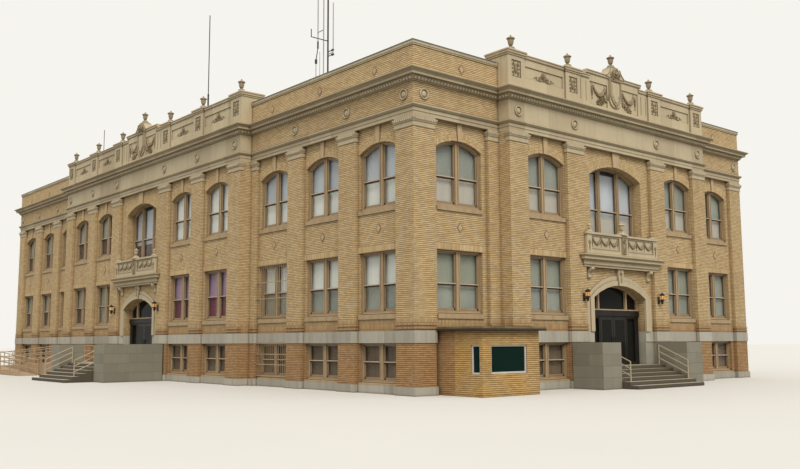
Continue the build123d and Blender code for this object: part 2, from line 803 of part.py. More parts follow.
def transom_frame():
    """Frame of the three lights over the doors."""
    y0, y1 = FRAME_Y, FRAME_Y + 0.10 * m
    frame = upright(arch_face(ENTRY_HALF, 3.18 * m, ENTRY_SPRING, ENTRY_RISE), y0, y1)
    hole = upright(
        arch_face(ENTRY_HALF - 0.07 * m, 3.24 * m, ENTRY_SPRING - 0.05 * m, ENTRY_RISE),
        y0 - 1, y1 + 1,
    )
    keep = block(-1.03 * m, -0.93 * m, y0 - 2, y1 + 2, 3 * m, 5 * m)
    keep += block(0.93 * m, 1.03 * m, y0 - 2, y1 + 2, 3 * m, 5 * m)
    return frame - (hole - keep)


def entrance_glass():
    """Panes behind the side lights and the lights over the doors."""
    y0 = FRAME_Y + 0.10 * m
    y1 = y0 + GLASS_T
    solids = []
    for s in (-1, 1):
        a, b = sorted((s * (LEAF_HALF + 0.05 * m), s * (LEAF_HALF + 0.65 * m)))
        solids.append(block(a, b, y0, y1, THRESHOLD + 0.09 * m, DOOR_TOP - 0.07 * m))
    face = arch_face(ENTRY_HALF - 0.03 * m, 3.21 * m, ENTRY_SPRING - 0.02 * m, ENTRY_RISE)
    solids.append(upright(face, y0, y1))
    return solids


def door_leaf(sign):
    """One glazed leaf with its stiles, rails and pull; sign -1 is the left leaf from outside."""
    a, b = sorted((sign * CLEAR / 2, sign * (LEAF_HALF - CLEAR)))
    z0, z1 = THRESHOLD + CLEAR, DOOR_TOP - CLEAR
    y0, y1 = FRAME_Y, FRAME_Y + LEAF_T
    leaf = block(a, b, y0, y1, z0, z1)
    ga, gb = a + 0.10 * m, b - 0.10 * m
    gz0, gz1 = z0 + 0.25 * m, z1 - 0.12 * m
    leaf -= block(ga, gb, y0 - 1, y0 + 0.014 * m, gz0, gz1)
    leaf -= block(ga, gb, y1 - 0.014 * m, y1 + 1, gz0, gz1)
    px = sign * 0.075 * m
    pull = block(px - 0.012 * m, px + 0.012 * m, y0 - 0.06 * m, y0 - 0.035 * m, 1.65 * m, 2.05 * m)
    for z in (1.68 * m, 2.02 * m):
        pull += block(px - 0.01 * m, px + 0.01 * m, y0 - 0.04 * m, y0 + 1, z - 5, z + 5)
    return leaf + pull


def surround():
    """Moulded ring round the doorway: two jambs, and the arch with its keystone."""
    y0 = PIER_OUT - PAV_OUT
    wide, thin = 0.46 * m, 0.24 * m
    jambs, arch = [], None
    for s in (-1, 1):
        jamb = None
        for w, out in ((wide, 0.04 * m), (thin, 0.08 * m)):
            a, b = sorted((s * ENTRY_HALF, s * (ENTRY_HALF + w)))
            step = block(a, b, y0 - out, y0, BAND_TOP, ENTRY_SPRING - SPLIT)
            jamb = step if jamb is None else jamb + step
        jambs.append(jamb)
    inner = upright(arch_face(ENTRY_HALF, 0, ENTRY_SPRING, ENTRY_RISE), -far_y(), far_y())
    for w, out in ((wide, 0.04 * m), (thin, 0.08 * m)):
        face = arch_face(ENTRY_HALF + w, ENTRY_SPRING, ENTRY_SPRING + 1, ENTRY_RISE + w * 0.92)
        ring = upright(face, y0 - out, y0) - inner
        arch = ring if arch is None else arch + ring
    return jambs + [arch + entry_keystone()]


def hood():
    """Moulded hood over the doorway, mitred at its ends, on two consoles."""
    face, half = -PAV_OUT, 2.58 * m
    profile = [
        (0.03, 4.94), (0.03, 5.00), (0.08, 5.04), (0.08, 5.18), (0.13, 5.21),
        (0.20, 5.24), (0.22, 5.25), (0.22, 5.34), (0.24, 5.35), (0.30, 5.41), (0.30, 5.45),
    ]

    def outline(d):
        return [(-half - d, face), (-half - d, face - d), (half + d, face - d), (half + d, face)]

    filling = block(-2.42 * m, 2.42 * m, face - 1, PIER_OUT - PAV_OUT, 4.94 * m, 5.45 * m)
    return moulding(profile, outline) + filling + console(-2.10 * m) + console(2.10 * m)


def console(x):
    """Scrolled bracket under the hood: an S profile given its width."""
    y0 = PIER_OUT - PAV_OUT
    face = make_face(
        [
            Line((0, 4.94 * m), (0, 4.46 * m)),
            ThreePointArc((0, 4.46 * m), (0.09 * m, 4.50 * m), (0.09 * m, 4.58 * m)),
            ThreePointArc((0.09 * m, 4.58 * m), (0.11 * m, 4.70 * m), (0.20 * m, 4.78 * m)),
            ThreePointArc((0.20 * m, 4.78 * m), (0.27 * m, 4.86 * m), (0.24 * m, 4.94 * m)),
            Line((0.24 * m, 4.94 * m), (0, 4.94 * m)),
        ]
    )
    solid = extrude(face, 0.18 * m, dir=(0, 0, 1))
    return Plane(origin=(x + 0.09 * m, y0, 0), x_dir=(0, -1, 0), z_dir=(-1, 0, 0)).location * solid


def entry_keystone():
    low, top = ENTRY_SPRING + ENTRY_RISE - 0.02 * m, 4.94 * m
    face = make_face(
        Polyline((-0.13 * m, low), (0.13 * m, low), (0.19 * m, top), (-0.19 * m, top), close=True)
    )
    return upright(face, PIER_OUT - PAV_OUT - 0.14 * m, PIER_OUT - PAV_OUT)


def balcony():
    """Shallow stone parapet in front of the wide window, standing on the hood, with three urns."""
    y0 = -PAV_OUT - 0.14 * m
    y1 = PIER_OUT - PAV_OUT
    low, top = 5.45 * m, 6.38 * m
    half, inner = 2.50 * m, 2.40 * m
    wall = block(-half, half, y0, -PAV_OUT, low, top)
    wall += block(-inner, inner, -PAV_OUT - 1, y1, low, low + 0.12 * m)
    wall += block(-half - 0.04 * m, half + 0.04 * m, y0 - 0.04 * m, -PAV_OUT, top - 0.09 * m, top)
    wall += block(-inner, inner, -PAV_OUT - 1, -PAV_OUT + 0.08 * m, top - 0.09 * m, top)
    for s in (-1, 1):
        a, b = sorted((s * 0.30 * m, s * 2.20 * m))
        wall -= block(a, b, y0 - 1, y0 + 0.03 * m, low + 0.22 * m, top - 0.16 * m)
    for x, size in ((-2.24 * m, 0.54), (0.0, 0.85), (2.24 * m, 0.54)):
        wall += Pos(x, -PAV_OUT - 0.05 * m, top - 1) * urn(size)
    return wall


def lantern():
    """Wall lantern: back plate, arm, tapered body, shade and finial."""
    k = m
    lamp = turned([(r * k, z * k) for r, z in (
        (0.02, -0.30), (0.05, -0.24), (0.06, -0.14), (0.10, -0.12), (0.105, 0.12),
        (0.135, 0.13), (0.06, 0.19), (0.015, 0.20), (0.012, 0.26),
    )], 8)
    lamp += Pos(0, 0.10 * m, -0.18 * m) * Box(0.05 * m, 0.20 * m, 0.05 * m)
    lamp += Pos(0, 0.185 * m, -0.12 * m) * Box(0.13 * m, 0.03 * m, 0.32 * m)
    return lamp


def lanterns():
    """Lanterns on the pilasters beside each doorway."""
    solids = []
    one = lantern()
    for side in (FRONT, RIGHT):
        x0 = (FRONT_PIERS if side is FRONT else RIGHT_PIERS)[0] - 0.30 * m
        for s in (-1, 1):
            solids.append(side * (Pos(s * x0, -PAV_OUT - 0.20 * m, 3.78 * m) * one))
    return solids


# Steps, cheek walls and rails

def steps(landing):
    """Landing, one block a tread, the door sill and the floor inside the doors."""
    rise = THRESHOLD / RISERS
    wall_back = PIER_OUT - PAV_OUT + WALL
    g = SPLIT
    solids = [
        block(-CHEEK_IN, CHEEK_IN, -landing, -PAV_OUT - 0.06 * m, 0, THRESHOLD),
        block(-ENTRY_HALF, ENTRY_HALF, -PAV_OUT - 0.06 * m + g, FRAME_Y + 0.10 * m, 0, THRESHOLD),
        block(-ENTRY_HALF, ENTRY_HALF, FRAME_Y + 0.10 * m + g, wall_back - g, 0, THRESHOLD),
        block(-2.4 * m, 2.4 * m, wall_back, wall_back + 3.2 * m, 0.15 * m, THRESHOLD),
    ]
    for k in range(1, RISERS):
        y = -landing - k * TREAD
        solids.append(block(-CHEEK_IN, CHEEK_IN, y, y + TREAD - g, 0, THRESHOLD - k * rise))
    return solids


def cheek_walls():
    """Stone walls beside the steps; the far front one leaves a way to the ramp."""
    solids = []
    back = PAV_OUT + 0.06 * m
    for side, end in ((FRONT, CHEEK_END_FRONT), (RIGHT, CHEEK_END_RIGHT)):
        for s in (-1, 1):
            a, b = sorted((s * (CHEEK_IN + SPLIT), s * CHEEK_OUT))
            spans = [(-end, -back)]
            if side is FRONT and s < 0:
                spans = [(-end, -RAMP_OUT[1] - SPLIT), (-RAMP_OUT[0] + SPLIT, -back)]
            solids += [side * block(a, b, y0, y1, 0, CHEEK_TOP) for y0, y1 in spans]
    return solids


# Ramp beside the front entrance

RAMP_OUT = (1.20 * m, 2.40 * m)
RAMP_BACK = (2.50 * m, 3.70 * m)
RAMP_X = (-6.52 * m, -16.52 * m, -18.05 * m)
RAMP_FOOT = -9.00 * m
RAMP_MID = 0.43 * m


def ramp():
    """Link from the landing, two sloping runs and the turning platform between them."""
    g = SPLIT
    y0, y1 = -RAMP_OUT[1], -RAMP_OUT[0]
    a, b, c = RAMP_X
    link = block(a, -CHEEK_IN - g, y0, y1, 0, THRESHOLD)
    upper = upright(
        make_face(Polyline((a - g, 0), (a - g, THRESHOLD), (b, RAMP_MID), (b, 0), close=True)), y0, y1
    )
    turn = block(c, b - g, -RAMP_BACK[1], y1, 0, RAMP_MID)
    toe = 0.02 * m
    lower = upright(
        make_face(Polyline((b, 0), (b, RAMP_MID), (RAMP_FOOT, toe), (RAMP_FOOT, 0), close=True)),
        -RAMP_BACK[1], -RAMP_BACK[0],
    )
    return [FRONT * s for s in (link, upper, turn, lower)]


# Pipe rails

PIPE = 0.024 * m


def pipe(p, q, r=PIPE):
    """Rail or post from p to q."""
    start = Plane(origin=p, z_dir=Vector(*q) - Vector(*p))
    return extrude(start * RegularPolygon(r, PIPE_SIDES), (Vector(*q) - Vector(*p)).length)


def rail_run(p, q, posts, heights, foot=True):
    """Straight railing: rails at the given heights over the line from p to q, on posts."""
    shape = None
    v = Vector(*q) - Vector(*p)
    for h in heights:
        rail = pipe((p[0], p[1], p[2] + h), (q[0], q[1], q[2] + h))
        shape = rail if shape is None else shape + rail
    for k in range(posts):
        at_post = Vector(*p) + v * (k / (posts - 1))
        top = heights[0]
        shape += pipe((at_post.X, at_post.Y, at_post.Z), (at_post.X, at_post.Y, at_post.Z + top))
    return shape


def handrails():
    """Three-rail pipe rails down both flights, inside the cheek walls."""
    solids = []
    rise = THRESHOLD / RISERS
    for side, landing in ((FRONT, LANDING_FRONT), (RIGHT, LANDING_RIGHT)):
        for x in (-2.05 * m, 2.05 * m):
            y0, y1 = -landing + 0.10 * m, -landing - 3.5 * TREAD
            z1 = THRESHOLD - 4 * rise
            run = None
            for h in (0.84, 0.56, 0.28):
                rail = pipe((x, y0, THRESHOLD + h * m), (x, y1, z1 + (h - 0.06) * m))
                run = rail if run is None else run + rail
            run += pipe((x, y0, THRESHOLD), (x, y0, THRESHOLD + 0.85 * m))
            run += pipe((x, y1, z1), (x, y1, z1 + 0.79 * m))
            solids.append(side * run)
    return solids


def ramp_railings():
    """Rails along both edges of the ramp, its platform and the link to the landing."""
    e, g = 0.08 * m, 0.05 * m
    start = -CHEEK_OUT - 0.22 * m
    heights = (0.90 * m, 0.60 * m, 0.30 * m)
    a, b, c = RAMP_X
    hi, mid, toe = THRESHOLD, RAMP_MID, 0.02 * m
    yi, yo = -RAMP_OUT[0] - e, -RAMP_OUT[1] + e
    ly, lo = -RAMP_BACK[0] - e, -RAMP_BACK[1] + e
    runs_ = [
        ((start, yi, hi), (a + g, yi, hi), 3),
        ((start, yo, hi), (a + g, yo, hi), 3),
        ((a - g, yi, hi), (b + g, yi, mid), 6),
        ((a - g, yo, hi), (b + g, yo, mid), 6),
        ((b - g, yi, mid), (c + e, yi, mid), 2),
        ((c + e, yi - 2 * g, mid), (c + e, lo + 2 * g, mid), 3),
        ((c + e, lo, mid), (b - g, lo, mid), 2),
        ((b + g, ly, mid), (RAMP_FOOT - g, ly, toe), 5),
        ((b + g, lo, mid), (RAMP_FOOT - g, lo, toe), 5),
    ]
    out = []
    for p, q, n in runs_:
        q = (q[0], q[1], q[2])
        slope = (q[2] - p[2]) / max(abs(q[0] - p[0]), 1)
        lift = PIPE * abs(slope)
        out.append(FRONT * rail_run((p[0], p[1], p[2] + lift), (q[0], q[1], q[2] + lift), n, heights))
    return out


# Low brick annex in the near bay of the right front

ANNEX_X = (-10.17 * m, -7.27 * m)
ANNEX_OUT = 2.10 * m
ANNEX_TOP = 2.26 * m


def annex_walls(clear):
    """Three brick walls with a window in the side and one in the front, and a floor."""
    a, b = ANNEX_X
    t, g = 0.22 * m, SPLIT
    near = block(a, a + t, -ANNEX_OUT, PIER_OUT, 0, ANNEX_TOP)
    near -= block(a - 1, a + t + 1, -1.97 * m, -1.54 * m, 0.77 * m, 1.77 * m)
    far = block(b - t, b, -ANNEX_OUT, PIER_OUT, 0, ANNEX_TOP)
    front = block(a + t + g, b - t - g, -ANNEX_OUT, -ANNEX_OUT + t, 0, ANNEX_TOP)
    front -= block(-9.74 * m, -7.92 * m, -ANNEX_OUT - 1, -ANNEX_OUT + t + 1, 0.78 * m, 1.77 * m)
    floor = block(a + t + g, b - t - g, -ANNEX_OUT + t + g, PIER_OUT, 0, 0.15 * m)
    return [RIGHT * wall - clear for wall in (near, far, front, floor)]


def annex_roof(clear):
    a, b = ANNEX_X
    g = 0.20 * m
    slab = block(a - g, b + g, -ANNEX_OUT - g, PIER_OUT, ANNEX_TOP, 2.40 * m)
    return RIGHT * slab - clear


def annex_windows():
    """White frames with their panes, set in the two annex windows."""
    a, t = ANNEX_X[0], 0.06 * m
    solids = []
    side = block(a + 0.05 * m, a + 0.11 * m, -1.97 * m, -1.54 * m, 0.77 * m, 1.77 * m)
    side -= block(a + 0.05 * m - 1, a + 0.09 * m, -1.91 * m, -1.60 * m, 0.83 * m, 1.71 * m)
    solids.append(RIGHT * side)
    y = -ANNEX_OUT + 0.05 * m
    front = block(-9.74 * m, -7.92 * m, y, y + t, 0.78 * m, 1.77 * m)
    for x0, x1 in ((-9.68, -8.86), (-8.80, -7.98)):
        front -= block(x0 * m, x1 * m, y - 1, y + 0.04 * m, 0.84 * m, 1.71 * m)
    solids.append(RIGHT * front)
    return solids


# Radio masts on the roof

def roof_masts():
    """Whip aerials and the cluster of poles that show over the parapet."""
    whip = Pos(0, 0, CORNICE_TOP) * extrude(RegularPolygon(0.05 * m, 8), 3.0 * m)
    whip += Pos(0, 0, CORNICE_TOP + 3.0 * m - 1) * extrude(RegularPolygon(0.03 * m, 8), 4.25 * m)
    rod = Pos(0, 0, CORNICE_TOP) * extrude(RegularPolygon(0.02 * m, 8), 3.7 * m)
    poles = Pos(0, 0, CORNICE_TOP) * extrude(RegularPolygon(0.07 * m, 8), 9.6 * m)
    poles += Pos(-0.35 * m, 0, 14.0 * m) * extrude(RegularPolygon(0.03 * m, 8), 6.6 * m)
    poles += Pos(-0.82 * m, 0, 14.8 * m) * extrude(RegularPolygon(0.03 * m, 8), 5.2 * m)
    poles += Pos(0.42 * m, 0, 15.2 * m) * extrude(RegularPolygon(0.03 * m, 8), 2.5 * m)
    for z, x0, x1 in ((14.1, -0.36, 0), (14.9, -0.83, 0), (15.3, 0, 0.43), (16.4, -1.25, 0)):
        poles += pipe((x0 * m, 0, z * m), (x1 * m, 0, z * m), 0.022 * m)
    poles += pipe((-1.24 * m, 0, 16.39 * m), (-1.24 * m, 0, 16.85 * m), 0.022 * m)
    y = -HY + 0.62 * m
    return [
        Pos(HX - 17.20 * m, y + 0.3 * m, 0) * whip,
        Pos(HX - 31.0 * m, y + 0.3 * m, 0) * rod,
        Pos(HX - 9.47 * m, -HY + 3.0 * m, 0) * poles,
    ]


def main():
    os.makedirs("parts", exist_ok=True)
    for name, solids in wall_nodes().items():
        put(name, solids)
    arches = entrance_walls()
    put("entrance_arch_walls", [side * s for side in (FRONT, RIGHT) for s in arches])
    piers = pilasters()
    corners = corner_piers()
    plinth = wrapped_ring(0, PLINTH_TOP, 0.05 * m)
    band = wrapped_ring(BAND_LOW, BAND_TOP, 0.03 * m)
    put("corner_piers", corners)
    put("pilasters", piers)
    put("capitals", capitals())
    put("base_plinth", runs(plinth, 0.06 * m, 0, PLINTH_TOP))
    put("stone_band", runs(band, 0.06 * m, BAND_LOW, BAND_TOP))
    put("architrave", architrave())
    wings, pavs = frieze_runs()
    put("wing_frieze", wings)
    put("pavilion_frieze", pavs)
    put("cornice", cornice())
    put("wing_parapet", wing_parapet())
    put("parapet_coping", parapet_coping())
    caps = {side: parapet_piers(side) for side in (FRONT, RIGHT)}
    put("parapet_piers", caps[FRONT] + caps[RIGHT])
    put("parapet_panels", [p - caps[s] for s in (FRONT, RIGHT) for p in parapet_panels(s)])
    put("parapet_crests", [crest(s) - caps[s] for s in (FRONT, RIGHT)])
    put("parapet_urns", urns())
    frames, panes = [], []
    for storey in STOREYS:
        more_frames, more_panes = storey_windows(storey)
        frames += more_frames
        panes += more_panes
    put("window_frames", frames)
    put("window_glass", panes)
    put("window_sills", sills())
    put("window_keystones", keystones())
    for name, shape in floors().items():
        put(name, shape)
    for name, side, landing in (
        ("front", FRONT, LANDING_FRONT), ("right", RIGHT, LANDING_RIGHT)
    ):
        put(f"{name}_door_left", side * door_leaf(-1))
        put(f"{name}_door_right", side * door_leaf(1))
        put(f"{name}_steps", [side * s for s in steps(landing)])
    put("entrance_frames", [s * f for s in (FRONT, RIGHT) for f in entrance_frame()])
    put("entrance_glass", [s * g for s in (FRONT, RIGHT) for g in entrance_glass()])
    put("entrance_surrounds", [s * f for s in (FRONT, RIGHT) for f in surround()])
    put("entrance_hoods", [FRONT * hood(), RIGHT * hood()])
    one = balcony()
    put("balconies", [FRONT * one, RIGHT * one])
    put("wall_lanterns", lanterns())
    put("cheek_walls", cheek_walls())
    put("handrails", handrails())
    ramps = ramp()
    put("ramp", ramps)
    put("ramp_railings", [r - ramps for r in ramp_railings()])
    near = [plinth, band] + [s for s in piers + corners if s.center().X > HX - 1.0 * m]
    put("annex_walls", annex_walls(near))
    put("annex_roof", annex_roof(near))
    put("annex_windows", annex_windows())
    put("roof_masts", roof_masts())


main()
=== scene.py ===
"""Town hall at half size: brickwork, stone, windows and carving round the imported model."""
import math

import bmesh
import bpy
from bpy.props import FloatProperty, FloatVectorProperty, IntProperty, PointerProperty
from mathutils import Matrix, Vector


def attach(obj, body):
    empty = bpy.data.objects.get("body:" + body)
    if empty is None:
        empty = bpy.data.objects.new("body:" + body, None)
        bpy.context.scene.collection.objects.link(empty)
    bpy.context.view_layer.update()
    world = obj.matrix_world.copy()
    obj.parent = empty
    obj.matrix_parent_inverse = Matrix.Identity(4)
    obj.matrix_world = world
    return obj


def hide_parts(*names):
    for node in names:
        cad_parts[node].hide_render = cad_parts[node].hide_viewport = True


bl_info = {
    "name": "Town hall finishes",
    "version": (1, 0, 0),
    "blender": (4, 5, 0),
    "location": "View3D > Sidebar > Town hall",
    "description": "Brick, stone, windows and carving for the half-size town hall",
    "category": "Object",
}

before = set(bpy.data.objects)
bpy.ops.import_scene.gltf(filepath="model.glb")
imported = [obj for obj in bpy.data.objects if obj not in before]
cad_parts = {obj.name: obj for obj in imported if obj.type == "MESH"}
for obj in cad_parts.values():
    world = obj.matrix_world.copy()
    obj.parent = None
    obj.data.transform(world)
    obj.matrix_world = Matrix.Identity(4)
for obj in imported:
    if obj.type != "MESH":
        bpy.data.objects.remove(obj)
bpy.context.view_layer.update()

# Sizes and heights of the real building in metres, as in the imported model
SCALE = 0.5
SHIFT_X, SHIFT_Y = -1.225, 2.325
HALF_LENGTH, HALF_DEPTH = 21.98, 11.37
FRONT_PAVILION, RIGHT_PAVILION = 10.80, 6.95    # half widths
PAVILION_OUT = 0.585
PIER_OUT, PIER_HALF, CORNER_W = 0.18, 0.525, 1.02
BAND_TOP, FIRST_SILL_COURSE, TRANSOM = 2.28, 2.71, 3.19
STOREY_LOZENGE, PARAPET_LOZENGE = 6.10, 12.14
CAPITAL_EGGS, ROUNDELS, CORNICE_EGGS, ROOF_LINE = 9.872, 10.84, 11.362, 11.72
COPING_LOW, COPING_TOP = 12.765, 12.812
PARAPET_PIER_HALF = 0.475
PANEL_OUT = PAVILION_OUT - 0.07
FIELD_OUT = PANEL_OUT - 0.04
BALCONY_OUT = PAVILION_OUT + 0.14
STONE_KEY_OUT = PAVILION_OUT - PIER_OUT + 0.14
ANNEX_FRONT, ANNEX_SIDE = 2.05, -10.12
LANTERN_OUT, LANTERN_HEIGHT = PAVILION_OUT + 0.20, 3.78
MASTS_FROM_CORNER = (9.47, 17.20, 31.0)

# Glass of a door leaf: nearest and farthest from the doorway's middle, lowest and highest
DOOR_GLASS = (0.108, 0.814, 1.118, 2.802)

# Eggs of the carved bands: half width, half height and rise, and how far out their band is
CORNICE_EGG, CORNICE_BAND_OUT = (0.056, 0.070, 0.06), 0.115
CAPITAL_EGG, CAPITAL_BAND_OUT = (0.036, 0.045, 0.035), 0.072

# Windows: sill, spring of the head and rise of its arch in each storey, and the meeting rail's share
STOREYS = {"base": (0.39, 1.84, 0.0), "first": (2.92, 5.24, 0.0), "second": (6.88, 9.07, 0.32)}
MEETING = {"base": 0.5, "first": 0.455, "second": 0.43}
WIDE_WINDOW = (6.00, 8.93, 0.47)
WIDE_PANEL = PAVILION_OUT - PIER_OUT - 0.26
WIN_HALF, WIDE_HALF = 1.18, 1.83
JAMB, FOOT_RAIL, HEAD_RAIL = 0.09, 0.10, 0.06
FRAME_FACE, FRAME_BACK, POST_HALF = 0.14, 0.24, 0.10
WIDE_POST_SHARE, WIDE_BLIND_FOOT = 0.36, 7.25
UPPER_SASH, LOWER_SASH = (0.225, 0.165), (0.242, 0.205)

# Bricks on edge: spacing, joint and the height of one ring of an arch
EDGE_PITCH, EDGE_JOINT, RING_HEIGHT = 0.0705, 0.012, 0.117
KEYSTONE_HALF, WIDE_KEYSTONE_HALF = 0.11, 0.23
BRICKS_OVER_WINDOW = 37

CAMERA_PLACE = (21.9725, -14.7025, 0.9475)
CAMERA_YAW, CAMERA_PITCH, CAMERA_ROLL = 49.642, 6.936, -0.267
KEY_DIRECTION, KEY_SPREAD, KEY_COLOUR = (-0.64, 0.36, -0.80), 25, (1.0, 0.965, 0.9)
FLOOR_HALF = 160.0


def srgb(red, green, blue):
    """Linear colour from 8-bit sRGB values."""
    out = []
    for value in (red, green, blue):
        v = value / 255
        out.append(v / 12.92 if v <= 0.04045 else ((v + 0.055) / 1.055) ** 2.4)
    return (*out, 1.0)


def settings(part):
    """One of the scene's groups of settings."""
    return getattr(bpy.context.scene, "town_hall_" + part)


def tone(value):
    """Colour from the name of a setting, such as stone.trim_light, or from 8-bit sRGB values."""
    if isinstance(value, str):
        part, key = value.split(".")
        return tuple(getattr(settings(part), key))
    return srgb(*value)


class Front:
    """One straight face of the building: places a point along it, out from it and up."""

    def __init__(self, origin, along, end=0.0, pavilion=0.0, windows=(), piers=()):
        self.origin = Vector((*origin, 0))
        self.along = Vector((*along, 0))
        self.out = Vector((along[1], -along[0], 0))
        self.end, self.pavilion = end, pavilion
        self.windows, self.piers = windows, piers

    def place(self, u, out, z):
        p = self.origin + self.along * u + self.out * out
        return Vector(((p.x + SHIFT_X) * SCALE, (p.y + SHIFT_Y) * SCALE, z * SCALE))

    def pier_face(self, u):
        return PAVILION_OUT if abs(u) < self.pavilion else 0.0

    def panel(self, u):
        """Face of the wall between the piers."""
        return self.pier_face(u) - PIER_OUT

    def pier_spans(self):
        """Left and right edge of each pilaster, then of the two corner piers."""
        spans = [(u - PIER_HALF, u + PIER_HALF) for u in self.piers]
        return spans + [(-self.end, CORNER_W - self.end), (self.end - CORNER_W, self.end)]


def both(values):
    """The values on both sides of the middle, from left to right."""
    return [-v for v in reversed(values)] + list(values)


def even_bays(pitch, side):
    """Windows at an even pitch, and the pilasters halfway between them."""
    return [k * pitch for k in range(-side, side + 1)], both([(k + 0.5) * pitch for k in range(side)])


FRONT = Front(
    (0, -HALF_DEPTH), (1, 0), HALF_LENGTH, FRONT_PAVILION,
    both([4.85, 8.44, 12.52, 16.16, 19.76]), both([3.05, 6.64, 10.275, 14.34, 17.99]),
)
RIGHT = Front((HALF_LENGTH, 0), (0, 1), HALF_DEPTH, RIGHT_PAVILION, both([4.69, 8.93]), both([2.955, 6.425]))
BACK = Front((0, HALF_DEPTH), (-1, 0), HALF_LENGTH, 0.0, *even_bays(3.81, 5))
LEFT = Front((-HALF_LENGTH, 0), (0, -1), HALF_DEPTH, 0.0, *even_bays(4.13, 2))
FRONTS = (FRONT, RIGHT, BACK, LEFT)
PAVILIONS = (FRONT, RIGHT)
SIDES = (-1, 1)


def plan_edges(push):
    """Edges of the outline at the pier faces, pushed out: a Front from its first corner, and its length."""
    f, r, p = FRONT_PAVILION + push, RIGHT_PAVILION + push, PAVILION_OUT
    x, y = HALF_LENGTH + push, HALF_DEPTH + push
    points = [
        (-x, -y), (-f, -y), (-f, -y - p), (f, -y - p), (f, -y), (x, -y),
        (x, -r), (x + p, -r), (x + p, r), (x, r), (x, y), (-x, y),
    ]
    edges = []
    for a, b in zip(points, points[1:] + points[:1]):
        length = math.hypot(b[0] - a[0], b[1] - a[1])
        edges.append((Front(a, ((b[0] - a[0]) / length, (b[1] - a[1]) / length)), length))
    return edges


def arc_radius(half, rise):
    """Radius of a segmental arch."""
    return (half * half + rise * rise) / (2 * rise)


def mirrored(angle, side):
    """Angle of a leaf on the right side, turned over on the left one."""
    return angle if side > 0 else math.pi - angle


